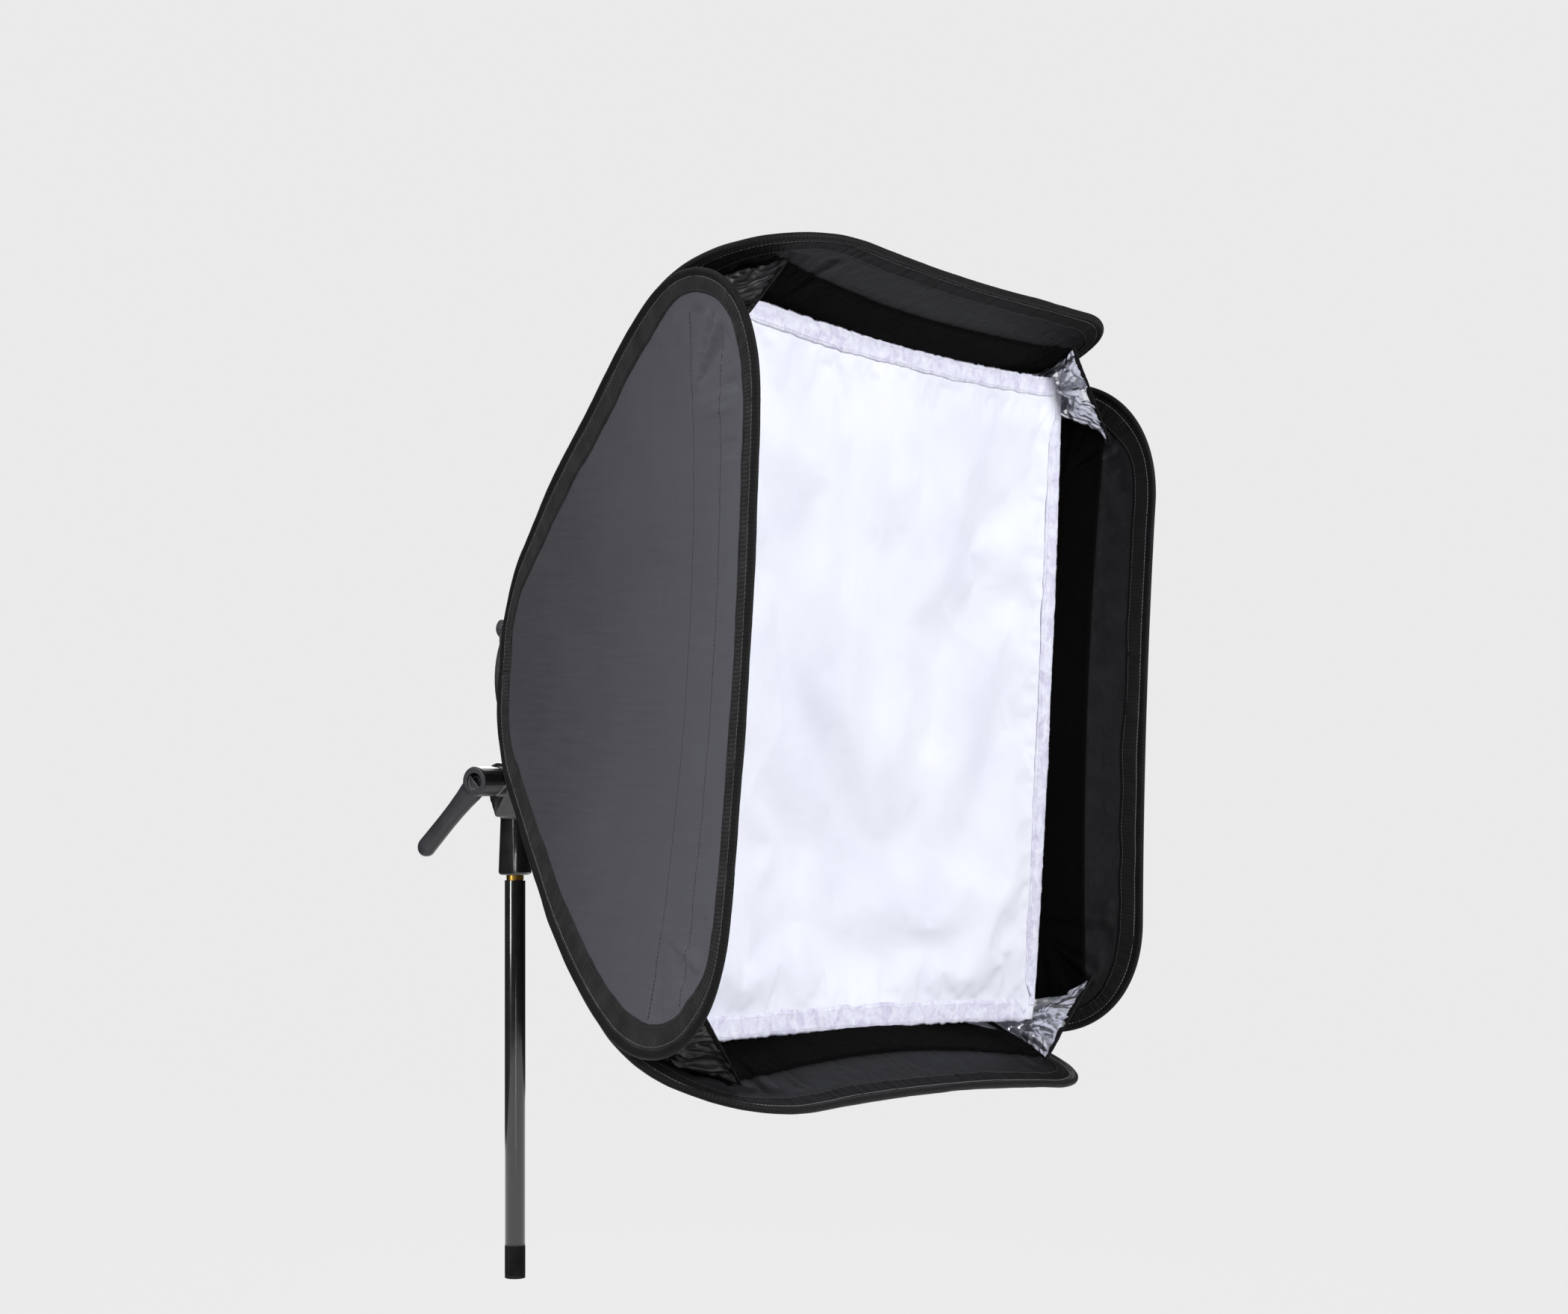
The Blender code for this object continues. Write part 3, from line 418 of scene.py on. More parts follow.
class Shade:
    """A node material built up from one Principled shader."""

    def __init__(self, name, **values):
        self.material = bpy.data.materials.new(name)
        self.material.use_nodes = True
        self.nodes = self.material.node_tree.nodes
        self.links = self.material.node_tree.links
        self.shader = self.nodes["Principled BSDF"]
        self.output = self.nodes["Material Output"]
        self.bump = None
        for key, value in values.items():
            self.shader.inputs[key.replace("_", " ")].default_value = value

    def add(self, kind, inputs=None, **settings):
        node = self.nodes.new("ShaderNode" + kind)
        for key, value in settings.items():
            setattr(node, key, value)
        for key, value in (inputs or {}).items():
            self.feed(node.inputs[key], value)
        return node

    def feed(self, socket, value):
        """Sets a socket to a constant, a web colour or another node's output."""
        if isinstance(value, bpy.types.NodeSocket):
            self.links.new(value, socket)
        else:
            socket.default_value = rgb(value) if isinstance(value, str) else value

    def math(self, operation, a, b=0.0, c=0.0, clamp=False):
        node = self.add("Math", {0: a, 1: b, 2: c}, operation=operation, use_clamp=clamp)
        return node.outputs[0]

    def where(self, kind="Object", scale=(1, 1, 1)):
        source = self.add("TexCoord").outputs[kind]
        return self.add("Mapping", {"Vector": source, "Scale": scale}).outputs[0]

    def noise(self, kind, scale, detail=3.0, rough=0.5, distort=0.0, stretch=(1, 1, 1)):
        inputs = {"Vector": self.where(kind, stretch), "Scale": scale, "Detail": detail}
        inputs.update({"Roughness": rough, "Distortion": distort})
        return self.add("TexNoise", inputs).outputs["Fac"]

    def wave(self, pitch, direction, distort=0.0, stretch=(1, 1, 1)):
        """Bands over the UVs, one in each pitch in metres."""
        inputs = {"Vector": self.where("UV", stretch), "Scale": BANDS / pitch}
        inputs["Distortion"] = distort
        return self.add("TexWave", inputs, bands_direction=direction).outputs["Fac"]

    def ramp(self, value, *stops):
        node = self.add("ValToRGB", {"Fac": value})
        elements = node.color_ramp.elements
        while len(elements) < len(stops):
            elements.new(0.5)
        for element, (at, colour) in zip(elements, stops):
            element.position = at
            element.color = rgb(colour)
        return node.outputs["Color"]

    def blend(self, share, a, b, mode="MIX"):
        node = self.add("Mix", data_type="RGBA", blend_type=mode)
        self.feed(node.inputs["Factor"], share)
        self.feed(node.inputs[6], a)
        self.feed(node.inputs[7], b)
        return node.outputs[2]

    def spread(self, value, low, high):
        return self.add(
            "MapRange", {"Value": value, "To Min": low, "To Max": high}
        ).outputs[0]

    def colour(self, value):
        self.feed(self.shader.inputs["Base Color"], value)

    def rough(self, value):
        self.feed(self.shader.inputs["Roughness"], value)

    def relief(self, height, distance, strength=1.0):
        """One more layer of bump, its height given in metres at full strength."""
        inputs = {"Height": height, "Distance": distance, "Strength": strength}
        if self.bump:
            inputs["Normal"] = self.bump
        self.bump = self.add("Bump", inputs).outputs[0]
        self.feed(self.shader.inputs["Normal"], self.bump)


def weave(shade, pitch, depth, strength=0.6):
    """Plain weave over the UVs, which are in metres."""
    across = shade.wave(pitch, "X")
    along = shade.wave(pitch, "Y")
    cloth = shade.math("MULTIPLY", across, along)
    shade.relief(cloth, depth, strength)
    return cloth


def nylon_outside():
    shade = Shade("shell_outside", Sheen_Weight=0.04, Sheen_Roughness=0.4, Specular_IOR_Level=0.2)
    cloth = weave(shade, 0.0008, 0.00012)
    streak = shade.noise("UV", 260.0, 4.0, 0.6, stretch=(1, 0.05, 1))
    cloud = shade.noise("UV", 9.0, 3.0)
    base = shade.ramp(cloud, (0.3, "#323237"), (0.7, "#3d3d43"))
    base = shade.blend(shade.spread(streak, 0.0, 0.42), base, "#54545c")
    base = shade.blend(shade.spread(cloth, 0.16, 0.0), base, "#1d1d20")
    # Painted light: the cloth is drawn lighter towards the front edge of each panel, blending up to
    # 0.55 of the way to #606068.
    depth = shade.add("SeparateXYZ", {"Vector": shade.where("UV")}).outputs["Y"]
    painted_front_light = shade.add("MapRange", {"Value": depth, "From Min": 0.1, "From Max": 0.5})
    shade.colour(shade.blend(shade.math("MULTIPLY", painted_front_light.outputs[0], 0.55), base, "#606068"))
    shade.rough(shade.spread(streak, 0.5, 0.68))
    shade.relief(shade.noise("UV", 150.0, 3.0, stretch=(1, 0.08, 1)), 0.0006, 0.35)
    shade.relief(shade.noise("UV", 55.0, 4.0), 0.0012, 0.3)
    return shade.material


def nylon_inside():
    shade = Shade("shell_border", Sheen_Weight=0.004, Specular_IOR_Level=0.1)
    cloth = weave(shade, 0.0008, 0.00012)
    cloud = shade.noise("UV", 40.0, 4.0)
    base = shade.ramp(cloud, (0.3, "#101012"), (0.7, "#1a1a1d"))
    shade.colour(shade.blend(shade.spread(cloth, 0.16, 0.0), base, "#0d0d0f"))
    shade.rough(shade.spread(cloud, 0.42, 0.6))
    shade.relief(shade.noise("UV", 70.0, 4.0, 0.6, 0.6), 0.002, 0.5)
    return shade.material


def nylon_satin():
    """The black back of the silvered cloth, with a soft gloss along its folds."""
    shade = Shade("web_back", Specular_IOR_Level=0.6)
    cloth = weave(shade, 0.0007, 0.0001)
    cloud = shade.noise("UV", 30.0, 4.0)
    base = shade.ramp(cloud, (0.3, "#1f1f21"), (0.7, "#2e2e31"))
    shade.colour(shade.blend(shade.spread(cloth, 0.15, 0.0), base, "#121213"))
    shade.rough(shade.spread(cloud, 0.3, 0.46))
    shade.relief(cloud, 0.002, 0.4)
    return shade.material


def silver():
    """Silver-coated cloth with sharp little folds."""
    shade = Shade("silver_foil", Metallic=0.85)
    cloth = weave(shade, 0.0007, 0.00008, 0.4)
    crumple = shade.add(
        "TexVoronoi", {"Vector": shade.where("UV", (1, 0.3, 1)), "Scale": 60.0},
        feature="SMOOTH_F1",
    ).outputs["Distance"]
    cloud = shade.noise("UV", 26.0, 5.0, 0.62, 0.9, stretch=(1, 0.3, 1))
    base = shade.ramp(cloud, (0.25, "#c4c6cc"), (0.75, "#f4f5f9"))
    shade.colour(shade.blend(shade.spread(cloth, 0.1, 0.0), base, "#70727a"))
    shade.rough(shade.spread(cloud, 0.2, 0.36))
    shade.relief(cloud, 0.006, 0.5)
    shade.relief(crumple, 0.0022, 0.35)
    return shade.material


def binding(name, dark, light, sheen=0.03):
    """Woven edge binding, ribbed across its width."""
    shade = Shade(name, Sheen_Weight=sheen, Sheen_Roughness=0.4, Specular_IOR_Level=0.1)
    ribs = shade.wave(0.0034, "X", 0.4)
    cross = shade.wave(0.0011, "Y")
    cloud = shade.noise("UV", 45.0, 4.0)
    base = shade.ramp(cloud, (0.3, dark), (0.72, light))
    shade.colour(shade.blend(shade.spread(ribs, 0.6, 0.0), base, "#0b0b0b"))
    shade.rough(shade.spread(cloud, 0.55, 0.75))
    shade.relief(ribs, 0.00022, 0.8)
    shade.relief(cross, 0.00012, 0.5)
    shade.relief(cloud, 0.0012, 0.35)
    return shade.material


def thread(name, colour, gap="#101010"):
    shade = Shade(name, Sheen_Weight=0.05)
    twist = shade.wave(0.0007, "DIAGONAL", stretch=(1, 1.6, 1))
    shade.colour(shade.blend(twist, colour, gap))
    shade.rough(shade.spread(twist, 0.45, 0.7))
    shade.relief(twist, 0.00015, 0.7)
    return shade.material


def pile_cloth():
    shade = Shade("loop_pile", Specular_IOR_Level=0.05)
    loops = shade.noise("Object", 900.0, 3.0, 0.7)
    cloud = shade.noise("Object", 90.0, 3.0)
    base = shade.ramp(loops, (0.35, "#010101"), (0.75, "#050506"))
    shade.colour(shade.blend(shade.spread(cloud, 0.0, 0.4), base, "#030304"))
    shade.rough(shade.spread(loops, 0.85, 1.0))
    shade.relief(loops, 0.0015, 0.9)
    return shade.material


def diffusion_cloth():
    """White rip-stop diffusion cloth, letting some light through."""
    shade = Shade("diffusion_cloth", Sheen_Weight=0.1, Specular_IOR_Level=0.3)
    cloth = weave(shade, 0.0007, 0.0001, 0.5)
    cloud = shade.noise("UV", 6.0, 4.0, 0.55)
    base = shade.ramp(cloud, (0.3, "#e2e5f0"), (0.7, "#f1f3fa"))
    base = shade.blend(shade.spread(cloth, 0.07, 0.0), base, "#b9bccb")
    shade.colour(base)
    shade.rough(shade.spread(cloud, 0.55, 0.72))
    shade.relief(shade.noise("UV", 30.0, 3.0), 0.0015, 0.25)
    through = shade.add("BsdfTranslucent", {"Color": base, "Normal": shade.bump})
    mixed = shade.add("MixShader", {0: 0.28, 1: shade.shader.outputs[0]})
    shade.links.new(through.outputs[0], mixed.inputs[2])
    shade.links.new(mixed.outputs[0], shade.output.inputs["Surface"])
    return shade.material


def hook_cloth():
    """White hook tape, darker and more violet-grey in patches."""
    shade = Shade("hook_tape", Sheen_Weight=0.1, Sheen_Roughness=0.5)
    hooks = shade.noise("UV", 1100.0, 2.0, 0.7)
    patch = shade.noise("UV", 75.0, 4.0, 0.65, 0.8)
    base = shade.ramp(patch, (0.34, "#b3b0c8"), (0.5, "#c6c7d6"),
                      (0.68, "#d3d5df"))
    shade.colour(shade.blend(shade.spread(hooks, 0.22, 0.0), base, "#9d9bb2"))
    shade.rough(shade.spread(hooks, 0.7, 0.95))
    shade.relief(hooks, 0.0005, 0.35)
    shade.relief(patch, 0.0006, 0.25)
    return shade.material


def coated_metal(name, dark, light, low, high, grain, coat=0.0, depth=0.08):
    """Painted or anodised metal with a fine grain, soft smudges and worn edges."""
    shade = Shade(name, Coat_Weight=coat, Coat_Roughness=0.08)
    speck = shade.noise("Object", grain, 3.0, 0.6)
    smudge = shade.noise("Object", 70.0, 4.0, 0.6, 0.4)
    scratch = shade.noise("Object", 420.0, 2.0, stretch=(1, 1, 0.08))
    edge = shade.add("NewGeometry").outputs["Pointiness"]
    worn = shade.math("MULTIPLY", shade.spread(edge, -7.0, 8.0), smudge, clamp=True)
    base = shade.blend(smudge, dark, light)
    shade.colour(shade.blend(shade.math("MULTIPLY", worn, 0.25), base, "#5c5d60"))
    rough = shade.math("ADD", shade.spread(smudge, low, high), shade.spread(scratch, -0.05, 0.05))
    shade.rough(rough)
    shade.relief(speck, depth * MM, 0.35)
    shade.relief(smudge, depth * MM, 0.12)
    return shade.material


def moulded():
    shade = Shade("moulded_nylon", Specular_IOR_Level=0.45)
    grain = shade.noise("Object", 2600.0, 2.0)
    smudge = shade.noise("Object", 60.0, 4.0, 0.6)
    shade.colour(shade.blend(smudge, "#232226", "#323036"))
    shade.rough(shade.spread(smudge, 0.32, 0.5))
    shade.relief(grain, 0.0001, 0.6)
    shade.relief(smudge, 0.0003, 0.2)
    return shade.material


def bare_metal(name, dark, light, low, high):
    """Turned or plated metal with lines along one way and faint tarnish."""
    shade = Shade(name, Metallic=1.0)
    lines = shade.noise("Object", 1800.0, 2.0, stretch=(1, 1, 0.03))
    cloud = shade.noise("Object", 120.0, 4.0, 0.6)
    base = shade.blend(cloud, dark, light)
    shade.colour(shade.blend(shade.spread(lines, 0.0, 0.25), base, dark))
    shade.rough(shade.spread(cloud, low, high))
    shade.relief(lines, 0.00008, 0.35)
    return shade.material


def rubber():
    shade = Shade("black_rubber", Specular_IOR_Level=0.3)
    speck = shade.noise("Object", 1500.0, 3.0)
    cloud = shade.noise("Object", 50.0, 3.0)
    shade.colour(shade.blend(cloud, "#161616", "#242424"))
    shade.rough(shade.spread(speck, 0.72, 0.9))
    shade.relief(speck, 0.0002, 0.5)
    return shade.material


def backdrop():
    shade = Shade("studio_paper", Specular_IOR_Level=0.0)
    cloud = shade.noise("Object", 1.3, 3.0)
    shade.colour(shade.ramp(cloud, (0.2, "#1c1c1c"), (0.8, "#1e1e1e")))
    shade.rough(shade.spread(cloud, 0.9, 1.0))
    shade.relief(shade.noise("Object", 220.0, 3.0), 0.0005, 0.1)
    return shade


OUTSIDE = nylon_outside()
BORDER = nylon_inside()
SILVER = silver()
SATIN = nylon_satin()
HEM = binding("hem_binding", "#242425", "#363638")
# Black binding of the boot and web edges, also drawn on the inner faces of each hem near the front
# as painted shade.
BLACK_AND_SHADED_HEM = binding("black_hem_and_painted_shade", "#0a0a0b", "#141415", 0.005)
BEAD = binding("bead_tape", "#0e0e0f", "#19191b", 0.04)
THREAD = thread("dark_thread", "#2a2a2c")
# Painted highlight: the pale thread of the bead stitching draws the thin light line along each
# bead.
PAINTED_HIGHLIGHT_THREAD = thread("pale_thread_painted_highlight", "#8c8c90")
WHITE_THREAD = thread("white_thread", "#e6e6ee", "#b4b4c6")
PILE = pile_cloth()
DIFFUSION = diffusion_cloth()
HOOK = hook_cloth()
TUBE_PAINT = coated_metal("tube_paint", "#050506", "#0a0a0b", 0.12, 0.2, 900.0, 0.5, 0.01)
SOCKET_PAINT = coated_metal("socket_paint", "#08080a", "#101012", 0.18, 0.27, 900.0, 0.4, 0.02)
CASTING = coated_metal("casting_paint", "#141415", "#202022", 0.3, 0.44, 1500.0, 0.15)
MOULDED = moulded()
STEEL = bare_metal("plated_steel", "#8d8f93", "#b9bbbf", 0.24, 0.4)
BLACKED = bare_metal("blacked_steel", "#17171a", "#2a2a2e", 0.3, 0.45)
BRASS = bare_metal("turned_brass", "#8c6a2c", "#c79c4c", 0.22, 0.38)
RUBBER = rubber()
SURFACES = {"black_casting": CASTING, "black_plastic": MOULDED, "steel": STEEL, "brass": BRASS,
            "rubber": RUBBER}


# ---------------------------------------------------------------- panels
PANEL_HALF = 0.6
BEAD_DEPTH = 8.5
PILE_FIBRES = 9000
HOOKS = 5000


def relief(side, s, w, distance, run):
    """How far the cloth of a panel stands off its smooth surface, in millimetres."""
    seed = 11 + 7 * SIDES.index(side)
    corner = smooth(s, FRONT - 190, FRONT - 60) * smooth(np.abs(w), 130, 240)
    free = smooth(distance, HEM_WIDTH - 1, HEM_WIDTH + 7)
    soft = 1.5 * waves(s / 120, w / 150, seed, 3) * smooth(distance, 25, 90)
    pull = np.exp(-np.maximum(distance - HEM_WIDTH, 0) / (24 + 50 * corner))
    gather = waves(run / 13, distance / 130, seed + 1, 2, 0.55)
    gather = gather * (0.35 + 3.0 * corner) * pull
    slant = creases((s + np.abs(w) * 0.8) / 95, (s - np.abs(w) * 0.8) / 240, seed + 2, 2)
    slant = 1.2 * np.maximum(slant, 0) ** 3 * corner * smooth(distance, 30, 70)
    row = np.zeros(np.shape(s))
    for at in (FRONT - PILE_START, FRONT - PILE_END):
        row -= 0.45 * np.exp(-(((s - at) / 2.4) ** 2))
        row += 0.25 * waves(w / 9, s / 30, seed + 4, 2) * np.exp(-(((s - at) / 9) ** 2))
    return free * np.maximum(soft + gather + slant + row, -2.2)


def make_panel(side):
    """Nylon sheet of one panel, silvered inside behind the diffuser and plain in front."""
    rows, columns = 176, 230
    reach = 5.0
    s = np.linspace(reach, FRONT - reach, rows)
    half = shell.half_width(s, reach)
    half[0], half[-1] = half[1] - 8, half[-2] - 6
    fraction = np.linspace(-1, 1, columns)
    s = np.repeat(s[:, None], columns, 1)
    w = half[:, None] * fraction[None, :]
    distance, run = shell.edge_distance(s, w)
    lift = relief(side, s, w, distance, run)
    outer = shell.point(side, s, w, lift + PANEL_HALF)
    inner = shell.point(side, s, w, lift - PANEL_HALF)
    middle = (s[:-1, :-1] + s[1:, 1:]) / 2
    slots = np.where(middle < FRONT - PILE_START - PILE_BEHIND - 3, 1, 2)
    uv = np.stack([w, s], -1)
    obj = slab(f"shell_panel_{side}", outer, inner, [OUTSIDE, SILVER, BORDER], uv, slots)
    sewn_on(obj, "shell_nylon", f"panel_{side}")
    width = 2 * float(half.max()) * MM
    length = (FRONT - 2 * reach) * MM
    step = (s[1:, :-1] - s[:-1, :-1]) * (w[:-1, 1:] - w[:-1, :-1])
    return obj, (width, length), float(step.sum()) * MM**2


def place_on(body, obj, slot, *nodes):
    """Rides a piece on its body in place of CAD nodes, which it hides; slot is not used."""
    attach(obj, body)
    if nodes:
        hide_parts(*nodes)
    return obj


def sewn_on(obj, slot, *nodes):
    return place_on("softbox", obj, slot, *nodes)


def hem_share(edge, run, seed):
    """How wide the binding is along the edge, as a share of its full width."""
    corner = smooth(edge[:, 0], FRONT - 185, FRONT - 110) * smooth(edge[:, 1], 100, 200)
    front = smooth(edge[:, 0], FRONT - 30, FRONT - 4)
    uneven = 0.05 * waves(run / 45, 0, seed + 6, 3)
    return 1 - 0.3 * corner * (1 - front) - 0.18 * front + uneven


# Upper half of a hem's section: (distance in from the edge, height over the cloth)
HEM_FLAT = ((24.6, 1.15), (20.0, 1.25), (15.0, 1.4), (11.0, 1.5), (9.2, 1.15), (8.2, 0.95))
HEM_BEAD = ((7.2, 1.35), (5.9, 2.3), (4.2, 2.95), (2.4, 3.0), (0.8, 2.3), (-0.1, 1.1))


def make_hem(side):
    """Folded binding round a panel: a bead on the edge, then a flat band sewn to the cloth."""
    seed = 51 + 7 * SIDES.index(side)
    half = [(27.2, 0.75), *HEM_FLAT, *HEM_BEAD, (-0.3, 0.0)]
    section = np.array(half + [(depth, -height) for depth, height in half[-2::-1]])
    edge, inward, run = HEM_EDGE
    depth = section[None, :, 0] * hem_share(edge, run, seed)[:, None]
    depth = np.where(section[None, :, 0] < BEAD_DEPTH, section[None, :, 0] * 0.82, depth)
    s = edge[:, None, 0] + inward[:, None, 0] * depth
    w = edge[:, None, 1] + inward[:, None, 1] * depth
    sign = np.sign(section[:, 1])[None, :]
    share = smooth(section[:, 0], 2, 12)[None, :]
    along = run[:, None]
    straight = smooth(edge[:, 0], 40, 80) * (1 - smooth(edge[:, 0], FRONT - 150, FRONT - 100))
    ribs = 0.26 * np.sin(2 * math.pi * along / 3.4 + 0.8 * waves(along / 7, 0, seed))
    front = smooth(edge[:, 0], FRONT - 110, FRONT - 30)[:, None]
    puff = 0.5 * waves(along / 17, section[None, :, 0] / 16, seed + 1, 3)
    pucker = 0.42 * waves(along / 5.2, section[None, :, 0] / 30, seed + 2, 2)
    lift = share * (ribs * straight[:, None] + 0.7 * puff + pucker * (0.55 + 0.6 * front))
    lift = lift * (1 - smooth(section[:, 0], 25.5, 27.2)[None, :] * 0.8)
    base = section[None, :, 1] + sign * np.maximum(lift, -0.45)
    swell = 0.35 * waves(along / 38, 0, seed + 3, 3) * (1 - share)
    points = shell.point(side, s, w, base + swell)
    rows, columns = points.shape[:2]
    faces = grid_faces(rows, columns, 0, True, False)
    close = np.arange(rows)
    ahead = (close + 1) % rows
    last = columns - 1
    seam = np.stack(
        [close * columns + last, close * columns, ahead * columns, ahead * columns + last], 1
    )
    faces = np.concatenate([faces, seam])
    uv = np.stack([np.broadcast_to(along, s.shape), np.broadcast_to(section[:, 0], s.shape)], -1)
    # Painted shade: the inner faces of the hem in front are drawn in the darker black binding, and
    # the bead in its own black tape.
    middle = np.repeat(edge[:, 0][:, None], columns - 1, 1)
    inside = np.broadcast_to(section[None, :-1, 1] < 0, middle.shape)
    dark = (inside & (middle > FRONT - 205)).astype(int)
    bead = np.broadcast_to(section[None, :-1, 0] < BEAD_DEPTH, middle.shape)
    dark = np.where(bead, 2, dark)
    dark = np.concatenate([dark.ravel(), np.zeros(rows, int)])
    obj = add_mesh(
        f"hem_{side}", in_frame(points).reshape(-1, 3), faces, [HEM, BLACK_AND_SHADED_HEM, BEAD],
        uv.reshape(-1, 2) * MM, dark,
    )
    face_outwards(obj)
    sewn_on(obj, "binding", f"rim_{side}", f"edge_tape_{side}")
    return obj


def seam_line(side, distance, lift):
    """Frame points along a line sewn round a panel, a distance in from the edge."""
    seed = 51 + 7 * SIDES.index(side)
    wide = distance * hem_share(shell.edge, shell.run, seed)
    line = shell.edge + shell.inward * wide[:, None]
    return in_frame(shell.point(side, line[:, 0], line[:, 1], lift))


def make_stitches(side):
    # The bead stitching's pale thread is a painted highlight along the bead.
    for name, distance, lift, radius, material in (
        ("hem_stitching", 24.2, 1.5, 0.26, THREAD), ("bead_stitching_painted_highlight", 9.4, 1.35, 0.34, PAINTED_HIGHLIGHT_THREAD)
    ):
        paths = []
        for face in (1, -1):
            paths += dashes(seam_line(side, distance, face * lift), 3.4 * MM, 2.5 * MM)
        obj = tubes(f"{name}_{side}", paths, radius * MM, material)
        sewn_on(obj, "binding")
    rows = []
    for at in (FRONT - PILE_START + 1.2, FRONT - PILE_END - 1.2):
        half = shell.half_width(np.array([at]), HEM_WIDTH + 3)[0]
        w = np.linspace(-half, half, 260)
        s = np.full(260, at)
        distance, run = shell.edge_distance(s, w)
        lift = relief(side, s, w, distance, run) + PANEL_HALF + 0.12
        rows += dashes(in_frame(shell.point(side, s, w, lift)), 3.6 * MM, 2.5 * MM)
    obj = tubes(f"pile_stitching_{side}", rows, 0.2 * MM, THREAD)
    sewn_on(obj, "shell_nylon")


THIRDS = ((1.0, 0.0), (-0.5, 0.87), (-0.5, -0.87))


def needles(rng, roots, normals, length, width, spread):
    """Short tapered fibres standing on a surface, three-sided: (points, faces)."""
    count = len(roots)
    way = unit(normals + rng.normal(0, spread, (count, 3)))
    side = unit(np.cross(way, rng.normal(0, 1, (count, 3))))
    other = np.cross(way, side)
    size = length * rng.uniform(0.6, 1.3, count)[:, None]
    foot = roots - way * size * 0.3
    corners = [foot + (a * side + b * other) * width for a, b in THIRDS]
    verts = np.stack(corners + [roots + way * size], 1).reshape(-1, 3)
    base = np.arange(count)[:, None] * 4
    faces = np.concatenate([base + [0, 2, 1], base + [0, 1, 3], base + [1, 2, 3], base + [2, 0, 3]])
    return verts, faces


def make_pile(side):
    """Loop pile tape sewn across the inside of a panel."""
    seed = 91 + 7 * SIDES.index(side)
    rows, columns = 26, 300
    s = np.linspace(FRONT - PILE_START - PILE_BEHIND, FRONT - PILE_END, rows)
    half = shell.half_width(s, 28.0) - 6.0
    s = np.repeat(s[:, None], columns, 1)
    w = half[:, None] * np.linspace(-1, 1, columns)[None, :]
    distance, run = shell.edge_distance(s, w)
    cloth = relief(side, s, w, distance, run)
    rim = np.minimum(s - s[0, 0], s[-1, 0] - s)
    loops = 0.35 * waves(s / 2.1, w / 2.1, seed, 2) + 0.3 * waves(s / 14, w / 20, seed + 1, 2)
    height = 2.1 * smooth(rim, -0.5, 2.5) + loops * smooth(rim, 0, 2) + 0.25
    under = shell.point(side, s, w, cloth - PANEL_HALF - 0.45)
    over = shell.point(side, s, w, cloth - PANEL_HALF - 0.45 - height)
    uv = np.stack([w, s], -1)
    obj = slab(f"pile_tape_{side}", under, over, [PILE], uv)
    sewn_on(obj, "pile", f"pile_band_{side}")
    rng = np.random.default_rng(seed)
    pick = rng.uniform(0, 1, (PILE_FIBRES, 2))
    ps = FRONT - PILE_START + 1.0 + (PILE_START - PILE_END - 2.0) * pick[:, 0]
    pw = (np.interp(ps, s[:, 0], half) - 1.5) * (2 * pick[:, 1] - 1)
    distance, run = shell.edge_distance(ps, pw)
    cloth = relief(side, ps, pw, distance, run)
    roots = shell.point(side, ps, pw, cloth - PANEL_HALF - 2.1)
    tips = shell.point(side, ps, pw, cloth - PANEL_HALF - 3.1)
    verts, faces = needles(rng, roots, tips - roots, 0.9, 0.16, 0.55)
    fuzz = add_mesh(f"pile_fuzz_{side}", in_frame(verts), faces, [PILE], np.zeros((len(verts), 2)))
    sewn_on(fuzz, "pile")
    return obj


# ---------------------------------------------------------------- webs and diffuser
def settled(points, pinned, frames, shrink, gravity, bend):
    """Settles a grid of frame points as cloth, with the pinned ones held."""
    obj = add_mesh("settling", points.reshape(-1, 3), grid_faces(*points.shape[:2]), [SILVER])
    group = obj.vertex_groups.new(name="seam")
    for index in np.flatnonzero(pinned > 0):
        group.add([int(index)], float(pinned.flat[index]), "REPLACE")
    cloth = obj.modifiers.new("cloth", "CLOTH")
    settings = cloth.settings
    settings.quality = 7
    settings.mass = 0.09
    settings.tension_stiffness = settings.compression_stiffness = 22
    settings.shear_stiffness = 9
    settings.bending_stiffness = bend
    settings.air_damping = 2.0
    settings.tension_damping = settings.compression_damping = 12
    settings.vertex_group_mass = "seam"
    settings.shrink_min = shrink
    settings.effector_weights.gravity = gravity
    cloth.collision_settings.use_collision = False
    cloth.collision_settings.use_self_collision = True
    cloth.collision_settings.self_distance_min = 0.0012
    cloth.point_cache.frame_start = 1
    cloth.point_cache.frame_end = frames
    scene = bpy.context.scene
    for frame_number in range(1, frames + 1):
        scene.frame_set(frame_number)
    moved = obj.evaluated_get(bpy.context.evaluated_depsgraph_get())
    flat = np.empty(points.size, np.float32)
    moved.to_mesh().vertices.foreach_get("co", flat)
    moved.to_mesh_clear()
    bpy.data.objects.remove(obj)
    scene.frame_set(1)
    return flat.reshape(points.shape).astype(float)


def finer(grid, times):
    """The grid with in-between rows and columns on smooth curves through its points."""
    for axis in (0, 1):
        count = grid.shape[axis]
        at = np.linspace(0, count - 1, (count - 1) * times + 1)
        i = np.clip(np.floor(at).astype(int), 0, count - 2)
        u = (at - i).reshape((-1, 1, 1) if axis == 0 else (1, -1, 1))
        p = [np.take(grid, np.clip(i + k, 0, count - 1), axis) for k in (-1, 0, 1, 2)]
        grid = 0.5 * (
            2 * p[1] + (p[2] - p[0]) * u
            + (2 * p[0] - 5 * p[1] + 4 * p[2] - p[3]) * u**2
            + (3 * p[1] - p[0] - 3 * p[2] + p[3]) * u**3
        )
    return grid


def normals_of(grid):
    return unit(np.cross(np.gradient(grid, axis=0), np.gradient(grid, axis=1)))


